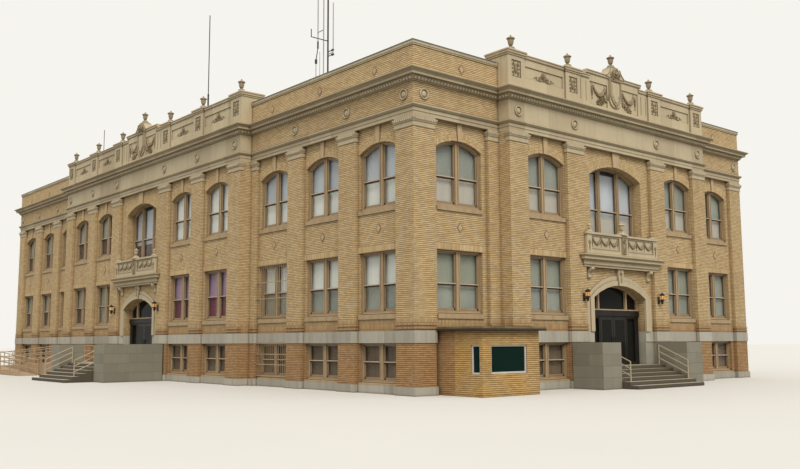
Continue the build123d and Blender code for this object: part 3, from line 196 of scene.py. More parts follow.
class Relief:
    """Collects small solids placed on the fronts, then makes them one piece."""

    def __init__(self):
        self.points = []
        self.faces = []

    def solid(self, front, points, faces):
        base = len(self.points)
        self.points += [front.place(*p) for p in points]
        self.faces += [[base + k for k in face] for face in faces]

    def skin(self, front, rings):
        """Solid through rings of points, closed at both ends."""
        n, last = len(rings[0]), len(rings) - 1
        faces = [
            [k * n + j, k * n + (j + 1) % n, (k + 1) * n + (j + 1) % n, (k + 1) * n + j]
            for k in range(last) for j in range(n)
        ]
        faces += [list(range(last * n, (last + 1) * n)), list(range(n))[::-1]]
        self.solid(front, [p for ring in rings for p in ring], faces)

    def plate(self, front, outline, back, face, chamfer=0.0):
        """Flat-faced solid on an outline of (along, up), its face drawn in by the chamfer."""
        cu = sum(p[0] for p in outline) / len(outline)
        cz = sum(p[1] for p in outline) / len(outline)
        raised = []
        for u, z in outline:
            k = max(1 - chamfer / max(math.hypot(u - cu, z - cz), 1e-6), 0)
            raised.append((cu + (u - cu) * k, face, cz + (z - cz) * k))
        self.skin(front, [[(u, back, z) for u, z in outline], raised])

    def bar(self, front, u0, u1, z0, z1, back, face, chamfer=0.0):
        self.plate(front, [(u0, z0), (u1, z0), (u1, z1), (u0, z1)], back, face, chamfer)

    def strip(self, front, low, high, back, face):
        """Solid between two lines of (along, up), one block for each span."""
        for k in range(len(low) - 1):
            self.plate(front, [low[k], low[k + 1], high[k + 1], high[k]], back, face)

    def rope(self, front, path, radii, sides=6):
        """Rounded strand along a path of (along, out, up), closed at its ends."""
        if not isinstance(radii, (list, tuple)):
            radii = [radii] * len(path)
        rings = []
        for k, (p, radius) in enumerate(zip(path, radii)):
            t = Vector(path[min(k + 1, len(path) - 1)]) - Vector(path[max(k - 1, 0)])
            t.normalize()
            side = t.cross(Vector((0, 1, 0)))
            if side.length < 0.01:
                side = Vector((1, 0, 0))
            side.normalize()
            lift = side.cross(t)
            turns = [2 * math.pi * j / sides for j in range(sides)]
            rings.append([
                tuple(Vector(p) + (side * math.cos(a) + lift * math.sin(a)) * radius) for a in turns
            ])
        self.skin(front, rings)

    def turned(self, front, u, z, profile, out, segments=16, stretch=1.0):
        """Round boss from (radius, rise) points, outermost first."""
        turns = [2 * math.pi * j / segments for j in range(segments)]
        self.skin(front, [
            [(u + r * math.cos(a), out + h, z + r * stretch * math.sin(a)) for a in turns] for r, h in profile
        ])

    def dome(self, front, u, z, out, half_u, half_z, rise, segments=8):
        """Egg or bead: half of an ellipsoid standing on the face."""
        profile = [(half_u, -0.01), (half_u, 0), (half_u * 0.8, rise * 0.6), (half_u * 0.35, rise * 0.94)]
        self.turned(front, u, z, profile, out, segments, half_z / half_u)

    def leaf(self, front, u, z, out, angle, length, width, rise):
        """Pointed leaf with a raised rib, from its stalk at (u, z)."""
        c, s = math.cos(angle), math.sin(angle)
        shape = [
            (0, 0, 0), (0.35, -0.5, 0), (0.75, -0.32, 0.2), (1, 0, 0.4), (0.75, 0.32, 0.2), (0.35, 0.5, 0),
            (0.35, 0, 1), (0.75, 0, 0.9),
        ]
        points = [(a * length, b * width, h * rise) for a, b, h in shape] + [(0.45 * length, 0, -0.02)]
        faces = [[0, 1, 6], [1, 2, 7, 6], [2, 3, 7], [3, 4, 7], [4, 5, 6, 7], [5, 0, 6]]
        faces += [[(k + 1) % 6, k, 8] for k in range(6)]
        self.solid(front, [(u + a * c - b * s, out + h, z + a * s + b * c) for a, b, h in points], faces)

    def scroll(self, front, u, z, out, radius, turns, start, hand, thick):
        """Spiral strand that tightens round (u, z)."""
        path, radii = [], []
        steps = max(int(10 * turns), 6)
        for k in range(steps + 1):
            t = k / steps
            r = radius * (1 - 0.78 * t)
            a = start + hand * 2 * math.pi * turns * t
            path.append((u + r * math.cos(a), out + 0.3 * thick, z + r * math.sin(a)))
            radii.append(thick * (0.55 + 0.45 * (1 - t)))
        self.rope(front, path, radii)
        self.dome(front, u, z, out, 0.9 * thick, 0.9 * thick, 1.1 * thick)

    def swag(self, front, u0, u1, z, sag, thick, out):
        """Festoon hung between two points, thick in the middle, with bunched fruit along it."""
        path, radii = [], []
        for k in range(11):
            t = k / 10
            path.append((u0 + (u1 - u0) * t, out + 0.2 * thick, z - sag * (1 - (2 * t - 1) ** 2)))
            radii.append(thick * (0.45 + 0.55 * math.sin(math.pi * t)))
        self.rope(front, path, radii)
        for k in range(1, 10):
            (u, _, low), r = path[k], radii[k]
            fruit = (out + 0.55 * r, 0.5 * r, 0.5 * r, 0.7 * r, 6)
            for shift in (-0.45 * r, 0.45 * r):
                self.dome(front, u + shift, low + shift * (-1) ** k, *fruit)

    def drop(self, front, u, z, length, thick, out):
        """Hanging tail of leaves and berries."""
        count = max(int(length / (1.3 * thick)), 2)
        for k in range(count):
            t = k / count
            w = thick * (0.6 + 0.6 * math.sin(math.pi * min(t + 0.15, 1)))
            self.dome(front, u, z - t * length, out, w, 0.9 * w, w, 6)
        self.leaf(front, u, z - length * 0.9, out, -math.pi / 2, 2.2 * thick, 1.4 * thick, 0.8 * thick)

    def rosette(self, front, u, z, out, radius):
        """Six petals round a button."""
        for k in range(6):
            turn = 2 * math.pi * k / 6 + 0.3
            self.leaf(front, u, z, out, turn, radius, radius * 0.75, radius * 0.3)
        self.dome(front, u, z, out + radius * 0.05, radius * 0.28, radius * 0.28, radius * 0.35)

    def make(self, name, finish_name, slot, body="building", smooth=False):
        """One piece of all the solids, with its finish, riding on its body."""
        if not self.points:
            raise RuntimeError(f"nothing to make {name} of")
        mesh = bpy.data.meshes.new(name)
        mesh.from_pydata([tuple(p) for p in self.points], [], self.faces)
        bm = bmesh.new()
        bm.from_mesh(mesh)
        bmesh.ops.recalc_face_normals(bm, faces=bm.faces)
        bm.to_mesh(mesh)
        bm.free()
        if smooth:
            mesh.shade_smooth()
            mesh.set_sharp_from_angle(angle=math.radians(38))
        mesh.materials.append(finish(finish_name))
        piece = bpy.data.objects.new(name, mesh)
        bpy.context.scene.collection.objects.link(piece)
        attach(piece, body)
        return piece


class Nodes:
    """Adds nodes to a tree and joins or sets their sockets."""

    def __init__(self, tree):
        self.tree = tree

    def feed(self, socket, value):
        if isinstance(value, bpy.types.NodeSocket):
            self.tree.links.new(value, socket)
        else:
            socket.default_value = value

    def add(self, kind, inputs=None, **values):
        node = self.tree.nodes.new(kind)
        for key, value in values.items():
            setattr(node, key, value)
        for key, value in (inputs or {}).items():
            self.feed(node.inputs[key], value)
        return node

    def math(self, operation, a, b=0.0):
        return self.add("ShaderNodeMath", {0: a, 1: b}, operation=operation).outputs[0]

    def blend(self, factor, a, b):
        """a where the factor is 0, b where it is 1."""
        return self.math("ADD", a, self.math("MULTIPLY", factor, self.math("SUBTRACT", b, a)))

    def mix(self, factor, a, b, blend_type="MIX"):
        node = self.add("ShaderNodeMix", {0: factor, 6: a, 7: b}, data_type="RGBA", blend_type=blend_type)
        return node.outputs[2]

    def ramp(self, value, low, high, to_low=0.0, to_high=1.0):
        return self.add("ShaderNodeMapRange", {0: value, 1: low, 2: high, 3: to_low, 4: to_high}).outputs[0]

    def noise(self, vector, scale, detail=3.0, roughness=0.55):
        values = {"Vector": vector, "Scale": scale, "Detail": detail, "Roughness": roughness}
        return self.add("ShaderNodeTexNoise", values).outputs["Fac"]

    def spot(self):
        return self.add("ShaderNodeTexCoord").outputs["Object"]

    def normal(self):
        return self.add("ShaderNodeNewGeometry").outputs["Normal"]

    def axes(self, vector):
        return self.add("ShaderNodeSeparateXYZ", {0: vector}).outputs

    def stretched(self, vector, factors):
        return self.add("ShaderNodeVectorMath", {0: vector, 1: factors}, operation="MULTIPLY").outputs[0]


def new_group(name, inputs, outputs):
    """Empty node group with named sockets; inputs are (name, kind, default)."""
    tree = bpy.data.node_groups.new(name, "ShaderNodeTree")
    for label, kind, value in inputs:
        socket = tree.interface.new_socket(name=label, in_out="INPUT", socket_type="NodeSocket" + kind)
        socket.default_value = value
    for label, kind in outputs:
        tree.interface.new_socket(name=label, in_out="OUTPUT", socket_type="NodeSocket" + kind)
    nodes = Nodes(tree)
    return tree, nodes, nodes.add("NodeGroupInput").outputs, nodes.add("NodeGroupOutput").inputs


def coursed_masonry_group():
    """Units laid in courses on every upright face; between two heights they stand on end."""
    grey, above_all = (0.5, 0.5, 0.5, 1), 99.0
    tree, n, given, out = new_group(
        "coursed_masonry",
        [
            ("Unit Length", "Float", 0.1), ("Course Height", "Float", 0.03), ("Head Joint", "Float", 0.002),
            ("Bed Joint", "Float", 0.003), ("Light", "Color", grey), ("Dark", "Color", grey),
            ("Joint Colour", "Color", grey), ("Upright From", "Float", above_all),
            ("Upright To", "Float", above_all),
        ],
        [("Colour", "Color"), ("Height", "Float")],
    )
    spot, facing = n.axes(n.spot()), n.axes(n.normal())
    nx, ny, nz = (n.math("ABSOLUTE", facing[k]) for k in range(3))
    flat = n.math("GREATER_THAN", nz, 0.75)
    along = n.blend(flat, n.blend(n.math("GREATER_THAN", nx, ny), spot[0], spot[1]), spot[0])
    up = n.blend(flat, spot[2], spot[1])
    upright = n.math("MULTIPLY", n.math("GREATER_THAN", spot[2], given["Upright From"]),
                     n.math("LESS_THAN", spot[2], given["Upright To"]))
    upright = n.math("MULTIPLY", upright, n.math("SUBTRACT", 1.0, flat))
    colours, joints = [], []
    for a, b, offset in ((along, up, 0.5), (up, along, 0.0)):
        units = n.add(
            "ShaderNodeTexBrick",
            {
                "Vector": n.add("ShaderNodeCombineXYZ", {0: a, 1: b}).outputs[0],
                "Color1": given["Light"], "Color2": given["Dark"],
                "Mortar": n.mix(0.5, given["Dark"], given["Joint Colour"]),
                "Scale": 1.0, "Mortar Size": given["Head Joint"], "Mortar Smooth": 0.2, "Bias": 0.0,
                "Brick Width": given["Unit Length"], "Row Height": given["Course Height"],
            },
            offset=offset,
        ).outputs
        reach = n.math("PINGPONG", b, n.math("MULTIPLY", given["Course Height"], 0.5))
        bed = n.ramp(reach, given["Bed Joint"], n.math("MULTIPLY", given["Bed Joint"], 1.7), 1.0, 0.0)
        joints.append(n.math("MAXIMUM", units["Fac"], bed))
        colours.append(n.mix(bed, units["Color"], given["Joint Colour"]))
    n.feed(out["Colour"], n.mix(upright, *colours))
    n.feed(out["Height"], n.math("SUBTRACT", 1.0, n.blend(upright, *joints)))
    return tree


def wear_and_shade_group():
    """Patches and downward streaks of grime, grain, and the undersides and ledges where shade is painted, as
    masks from 0 to 1.
    """
    tree, n, given, out = new_group(
        "weathering",
        [("Patch Scale", "Float", 0.6), ("Streak Scale", "Float", 5.0), ("Streaks", "Float", 0.5)],
        [(name, "Float") for name in ("Patches", "Streaks", "Grain", "Underside", "Ledge")],
    )
    spot = n.spot()
    n.feed(out["Patches"], n.ramp(n.noise(spot, given["Patch Scale"], 5.0, 0.6), 0.35, 0.7))
    streaks = n.noise(n.stretched(spot, (1.0, 1.0, 0.08)), given["Streak Scale"], 4.0, 0.65)
    n.feed(out["Streaks"], n.math("MULTIPLY", n.ramp(streaks, 0.48, 0.72), given["Streaks"]))
    n.feed(out["Grain"], n.noise(spot, 260.0, 3.0, 0.7))
    facing_up = n.axes(n.normal())[2]
    n.feed(out["Underside"], n.ramp(facing_up, -0.15, -0.75))
    n.feed(out["Ledge"], n.ramp(facing_up, 0.4, 0.8))
    return tree


GROUP_MAKERS = {"coursed_masonry": coursed_masonry_group, "weathering": wear_and_shade_group}


class Finish(Nodes):
    """A new material: the nodes before its shader, and their usual ending."""

    def __init__(self, name):
        self.material = bpy.data.materials.new(name)
        self.material.use_nodes = True
        super().__init__(self.material.node_tree)
        self.shader = self.tree.nodes["Principled BSDF"]

    def group(self, name, values):
        """Place one of the shared groups, built the first time it is asked for."""
        node = self.add("ShaderNodeGroup")
        node.node_tree = bpy.data.node_groups.get(name) or GROUP_MAKERS[name]()
        for key, value in values.items():
            self.feed(node.inputs[key], value)
        return node.outputs

    # The last two masks, undersides and faces turned up, serve painted shade.
    def weather(self, patch, streak, streaks):
        return self.group("weathering", {"Patch Scale": patch, "Streak Scale": streak, "Streaks": streaks})

    def masonry(self, length, course, head_joint, bed_joint, light, dark, joint, **upright):
        values = {
            "Unit Length": length, "Course Height": course, "Head Joint": head_joint, "Bed Joint": bed_joint,
            "Light": tone(light), "Dark": tone(dark), "Joint Colour": tone(joint), **upright,
        }
        return self.group("coursed_masonry", values)

    def stain(self, colour, mask, amount, shade):
        """Mix in a darker colour where the mask is high, for real stains and for painted shade."""
        return self.mix(self.math("MULTIPLY", mask, amount), colour, tone(shade))

    def painted_crevice_shade(self, colour, shade, reach, amount):
        """Painted shade: darken the colour where other surfaces stand close."""
        near = self.add("ShaderNodeAmbientOcclusion", {"Distance": reach}, samples=8).outputs["AO"]
        return self.mix(self.ramp(near, 0.30, 0.92, amount, 0.0), colour, tone(shade))

    def ends(self, **values):
        """Feed the shader's own sockets; an underscore stands for a space."""
        for name, value in values.items():
            self.feed(self.shader.inputs[name.replace("_", " ")], value)
        return self.material

    def surface(self, colour, grain, smooth, rough, height, depth, span=(0.3, 0.7)):
        """Set the colour, a roughness that follows the grain, and the bump."""
        relief = self.add("ShaderNodeBump", {"Height": height, "Distance": depth, "Strength": 1.0})
        roughness = self.ramp(grain, *span, smooth, rough)
        return self.ends(Base_Color=colour, Roughness=roughness, Normal=relief.outputs[0])


def doorway_base(m, spot):
    """1 on the walls beside the two doorways, below the top of the stone band."""
    sides = []
    for across, along, front in ((0, 1, RIGHT), (1, 0, FRONT)):
        centre = front.place(0, 0, 0)
        near = m.math("ABSOLUTE", m.math("SUBTRACT", spot[along], centre[along]))
        away = m.math("ABSOLUTE", m.math("SUBTRACT", spot[across], centre[across]))
        sides.append(m.math("MULTIPLY", m.math("LESS_THAN", near, 1.5), m.math("LESS_THAN", away, 0.4)))
    return m.math("MULTIPLY", m.math("MAXIMUM", *sides), m.math("LESS_THAN", spot[2], BAND_TOP * SCALE))


def brick_material(name):
    """Buff face brick, warmer and darker below the stone band, on end under the first sills."""
    m, brick = Finish(name), settings("brick")
    laid = m.masonry(
        brick.unit_length, brick.course_height, brick.head_joint, brick.bed_joint,
        "brick.light", "brick.dark", "brick.joint_colour",
        **{"Upright From": BAND_TOP * SCALE, "Upright To": FIRST_SILL_COURSE * SCALE},
    )
    stain_and_shade_masks, spot = m.weather(0.9, 3.2, 0.5), m.spot()
    axes = m.axes(spot)
    low = m.ramp(axes[2], 2.9 * SCALE, 2.2 * SCALE)
    annex = m.math("GREATER_THAN", axes[0], RIGHT.place(0, 0.75, 0).x)
    tint = m.mix(annex, tone("brick.basement_tint"), tone("brick.annex_tint"))
    colour = m.mix(low, laid["Colour"], m.mix(0.85, laid["Colour"], tint, "MULTIPLY"))
    deep_joints = m.math("MULTIPLY", low, m.math("SUBTRACT", 1.0, laid["Height"]))
    colour = m.stain(colour, deep_joints, 0.5, (84, 60, 36))
    colour = m.mix(m.ramp(m.noise(spot, 14.0, 2.0), 0.3, 0.7, 0.0, 0.12), colour, srgb(214, 189, 146))
    colour = m.stain(colour, stain_and_shade_masks["Patches"], 0.16, (150, 118, 78))
    colour = m.stain(colour, stain_and_shade_masks["Streaks"], 0.30, (128, 104, 74))
    pale = m.mix(stain_and_shade_masks["Patches"], srgb(180, 175, 160), srgb(152, 146, 130))
    # Painted shade where other surfaces stand close, as under the heads of the openings.
    colour = m.painted_crevice_shade(m.mix(doorway_base(m, axes), colour, pale), (92, 70, 44), 0.10, 0.55)
    height = m.math("ADD", laid["Height"], m.math("MULTIPLY", stain_and_shade_masks["Grain"], 0.35))
    return m.surface(colour, stain_and_shade_masks["Grain"], 0.78, 0.95, height, 0.003)


def head_material(name):
    """Single bricks of the arches and upright courses, each with its own tone."""
    m = Finish(name)
    stain_and_shade_masks = m.weather(0.9, 3.2, 0.5)
    each = m.add("ShaderNodeNewGeometry").outputs["Random Per Island"]
    colour = m.mix(each, tone("brick.light"), tone("brick.dark"))
    colour = m.stain(colour, stain_and_shade_masks["Patches"], 0.25, (150, 118, 78))
    # Painted shade in the gaps between the bricks on edge.
    colour = m.painted_crevice_shade(colour, (92, 70, 44), 0.02, 0.7)
    return m.surface(colour, stain_and_shade_masks["Grain"], 0.78, 0.95, stain_and_shade_masks["Grain"], 0.001)


ONE_PIECE = 60.0    # a block longer than the building shows no joint


def stone_material(name, light, dark, joint, block=ONE_PIECE, course=ONE_PIECE, seam=0.0022, streaks=0.6,
                   patch=1.4, stain_and_shade_colour=(110, 97, 72), crevice_shade_amount=0.75, riser_shade=0.0):
    """Dressed stone in blocks, with stains that run down it, painted shade under ledges and in narrow gaps,
    and painted shade that makes upright faces on steps darker.
    """
    m = Finish(name)
    laid = m.masonry(block, course, seam, seam, light, dark, joint)
    stain_and_shade_masks = m.weather(patch, 7.0, streaks)
    colour = m.stain(laid["Colour"], stain_and_shade_masks["Patches"], 0.35, dark)
    colour = m.stain(colour, stain_and_shade_masks["Streaks"], 0.5, stain_and_shade_colour)
    colour = m.mix(m.ramp(stain_and_shade_masks["Grain"], 0.35, 0.65, 0.0, 0.16), colour, (0.75, 0.71, 0.62, 1))
    # Painted shade on faces turned down.
    colour = m.stain(colour, stain_and_shade_masks["Underside"], 0.35, stain_and_shade_colour)
    # Painted shade on upright faces, which makes the risers of steps darker than the treads.
    colour = m.stain(colour, m.math("SUBTRACT", 1.0, stain_and_shade_masks["Ledge"]), riser_shade, stain_and_shade_colour)
    # Painted shade where other surfaces stand close.
    colour = m.painted_crevice_shade(colour, (66, 52, 34), 0.05, crevice_shade_amount)
    height = m.math("ADD", laid["Height"], m.math("MULTIPLY", stain_and_shade_masks["Grain"], 0.25))
    return m.surface(colour, stain_and_shade_masks["Grain"], 0.72, 0.9, height, 0.0015)


def paint_material(name, light, dark, roughness=0.5, metallic=0.0, crevice_shade_amount=0.0):
    """Painted or bare metal and wood, uneven and a little stained."""
    m = Finish(name)
    stain_and_shade_masks = m.weather(3.0, 12.0, 0.8)
    colour = m.stain(tone(light), stain_and_shade_masks["Patches"], 0.35, dark)
    colour = m.stain(colour, stain_and_shade_masks["Streaks"], 0.35, dark)
    # Painted shade in the corners of frames and sashes, where other surfaces stand close.
    if crevice_shade_amount:
        colour = m.painted_crevice_shade(colour, (58, 42, 28), 0.03, crevice_shade_amount)
    m.ends(Metallic=metallic)
    return m.surface(colour, stain_and_shade_masks["Grain"], roughness - 0.08, roughness + 0.1, stain_and_shade_masks["Grain"], 0.0004)


def doorway_material(name):
    """Doorway frame: dark bronze round the doors, tan paint round the lights above."""
    m = Finish(name)
    stain_and_shade_masks = m.weather(3.0, 12.0, 0.8)
    above = m.math("GREATER_THAN", m.axes(m.spot())[2], TRANSOM * SCALE)
    tan = m.stain(tone("window.paint"), stain_and_shade_masks["Patches"], 0.5, "window.paint_dark")
    bronze = m.mix(stain_and_shade_masks["Patches"], srgb(44, 40, 36), srgb(28, 26, 24))
    m.ends(Metallic=m.ramp(above, 0.0, 1.0, 0.5, 0.0))
    return m.surface(m.mix(above, bronze, tan), stain_and_shade_masks["Grain"], 0.38, 0.55, stain_and_shade_masks["Grain"], 0.0004)


def annex_edge_material(name):
    """Edge of the annex roof: mossy tan on top, dark below."""
    m = Finish(name)
    stain_and_shade_masks = m.weather(3.0, 9.0, 0.8)
    top = m.ramp(m.axes(m.spot())[2], 2.325 * SCALE, 2.345 * SCALE)
    moss = m.mix(stain_and_shade_masks["Patches"], srgb(136, 118, 82), srgb(92, 80, 50))
    colour = m.mix(top, m.mix(stain_and_shade_masks["Streaks"], srgb(56, 46, 34), srgb(34, 28, 22)), moss)
    return m.surface(colour, stain_and_shade_masks["Grain"], 0.6, 0.8, stain_and_shade_masks["Grain"], 0.001)


def amber_material(name):
    """Amber lantern glass, lit from inside."""
    m = Finish(name)
    colour = m.mix(m.weather(12.0, 30.0, 0.6)["Patches"], srgb(238, 180, 110), srgb(196, 128, 62))
    return m.ends(Base_Color=colour, Emission_Color=colour, Emission_Strength=0.45, Roughness=0.25)


def glass_material(name, tint, transmission):
    """Window glass that mirrors the sky and lets the light in to what hangs behind it."""
    m = Finish(name)
    stain_and_shade_masks = m.weather(1.2, 9.0, 1.0)
    tint = tone(tint)
    dusty = tuple(min(1.0, 1.2 * c) for c in tint[:3]) + (1.0,)
    colour = m.mix(m.math("MULTIPLY", stain_and_shade_masks["Patches"], 0.5), tint, dusty)
    m.ends(Base_Color=colour, Roughness=0.0, Metallic=0.0, Transmission_Weight=transmission, IOR=1.12)
    clear = m.add("ShaderNodeBsdfTransparent", {"Color": (0.97, 0.97, 0.97, 1)})
    path = m.add("ShaderNodeLightPath").outputs
    lighting = m.math("MAXIMUM", path["Is Shadow Ray"], path["Is Diffuse Ray"])
    shown = m.add("ShaderNodeMixShader", {0: lighting, 1: m.shader.outputs[0], 2: clear.outputs[0]})
    m.feed(m.tree.nodes["Material Output"].inputs["Surface"], shown.outputs[0])
    return m.material


def blind_material(name, light, dark, fold=9.0):
    """Cloth or slats behind the glass, in soft upright folds with painted shade in them."""
    m = Finish(name)
    spot = m.spot()
    folds = m.ramp(m.noise(m.stretched(spot, (fold, fold, 0.3)), 1.0, 2.0), 0.35, 0.65)
    fade = m.ramp(m.noise(spot, 1.1, 2.0), 0.35, 0.65, 0.0, 0.5)
    # Painted shade: the colour darkens in the folds.
    colour = m.stain(m.mix(fade, tone(light), tone(dark)), folds, 0.5, dark)
    return m.surface(colour, folds, 0.6, 0.8, folds, 0.002, (0.0, 1.0))


def colour_setting(name, description, *values):
    return FloatVectorProperty(
        name=name, description=description, subtype="COLOR", size=4, min=0.0, max=1.0, default=srgb(*values)
    )


def length_setting(name, description, default):
    return FloatProperty(name=name, description=description, default=default, min=0.0, unit="LENGTH")


class BrickSettings(bpy.types.PropertyGroup):
    """Size and colour of the face brick, at model size."""

    unit_length: length_setting("Brick length", "One brick with its joint", 0.1065)
    course_height: length_setting("Course height", "One course with its joint", 0.0352)
    head_joint: length_setting("Upright joint", "Half the width of a joint between two bricks", 0.0018)
    bed_joint: length_setting("Bed joint", "Half the width of a joint between two courses", 0.0034)
    light: colour_setting("Light brick", "Palest bricks", 227, 201, 154)
    dark: colour_setting("Dark brick", "Darkest bricks", 201, 171, 122)
    joint_colour: colour_setting("Joint colour", "Mortar in shade", 104, 77, 45)
    basement_tint: colour_setting("Basement tint", "Multiplies the brick below the band", 209, 181, 158)
    annex_tint: colour_setting("Annex tint", "Multiplies the brick of the annex", 250, 228, 175)


class StoneSettings(bpy.types.PropertyGroup):
    """Colours of the stone trim, the pale band and the stone beside the steps."""

    trim_light: colour_setting("Trim", "Cornice, frieze, parapets and carving", 206, 190, 154)
    trim_dark: colour_setting("Trim shade", "Darker trim stone", 176, 157, 123)
    band_light: colour_setting("Band", "Band and plinth", 190, 184, 168)
    band_dark: colour_setting("Band shade", "Darker band stone", 158, 152, 136)
    sill_light: colour_setting("Sill", "Window sills", 188, 162, 120)
    sill_dark: colour_setting("Sill shade", "Stained sill stone", 156, 130, 92)
    ashlar_light: colour_setting("Ashlar", "Walls beside the steps", 140, 135, 117)
    ashlar_dark: colour_setting("Ashlar shade", "Darker blocks", 119, 113, 96)


class WindowSettings(bpy.types.PropertyGroup):
    """Sash sizes in metres of the real building, and colours behind the glass."""

    sash_width: length_setting("Sash width", "Width of a sash stile", 0.055)
    rail_height: length_setting("Meeting rail", "Height of the meeting rail", 0.06)
    paint: colour_setting("Frame paint", "Tan paint of frames and sashes", 188, 163, 128)
    paint_dark: colour_setting("Frame shade", "Weathered paint", 150, 125, 92)
    sash_paint: colour_setting("Sash paint", "Paint of the sash bars", 166, 142, 108)
    blind: colour_setting("Blind", "Pale blinds", 206, 200, 188)
    green_blind: colour_setting("Green blind", "Grey-green blinds", 160, 164, 148)
    grey_blind: colour_setting("Grey blind", "Shaded blinds", 165, 171, 160)
    white_blind: colour_setting("White blind", "Brightest blinds of the long front", 250, 252, 246)
    cool_blind: colour_setting("Cool blind", "Upper blinds of the long front", 212, 220, 228)
    lilac: colour_setting("Lilac curtain", "Upper curtains of two pavilion windows", 180, 148, 176)
    plum: colour_setting("Plum curtain", "Lower curtains of two pavilion windows", 118, 2, 56)


class CarvingSettings(bpy.types.PropertyGroup):
    """Repeats and sizes of the carving, in metres of the real building."""

    egg_pitch: length_setting("Egg spacing", "Spacing of the eggs under the cornice", 0.16)
    capital_pitch: length_setting("Capital egg spacing", "Spacing of the eggs on the capitals", 0.11)
    roundel: length_setting("Roundel radius", "Radius of the roundels on the frieze", 0.21)
    lozenge: length_setting("Lozenge half width", "Half width of the brick lozenges", 0.17)
    arch_rings: IntProperty(
        name="Arch rings", description="Rings of brick over an upper window", default=3, min=1
    )


class StageSettings(bpy.types.PropertyGroup):
    """Light and backdrop."""

    floor: colour_setting("Floor", "Pale floor", 218, 215, 208)
    backdrop: colour_setting("Backdrop", "What the camera sees behind the building", 246, 244, 238)
    sky: FloatProperty(name="Soft light", description="Strength of the even light", default=0.80, min=0.0)
    sun: FloatProperty(name="Key light", description="Strength of the broad key light", default=1.8, min=0.0)
    lens: FloatProperty(
        name="Lens", description="Focal length for a 36 mm wide frame", default=39.592, unit="CAMERA"
    )


SETTINGS = {
    "town_hall_brick": BrickSettings, "town_hall_stone": StoneSettings, "town_hall_window": WindowSettings,
    "town_hall_carving": CarvingSettings, "town_hall_stage": StageSettings,
}

# Light, dark and joint of a stone; light and dark of a paint
TRIM_JOINT = (112, 96, 68)
TRIM = ("stone.trim_light", "stone.trim_dark", TRIM_JOINT)
BRONZE = ((44, 40, 36), (28, 26, 24))
CARVED = {"streaks": 0.4, "crevice_shade_amount": 0.95}
CAST = {"block": 1.2, "seam": 0.002, "streaks": 0.3, "patch": 1.2}
CUT = {"seam": 0.002, "streaks": 0.6, "patch": 1.8}

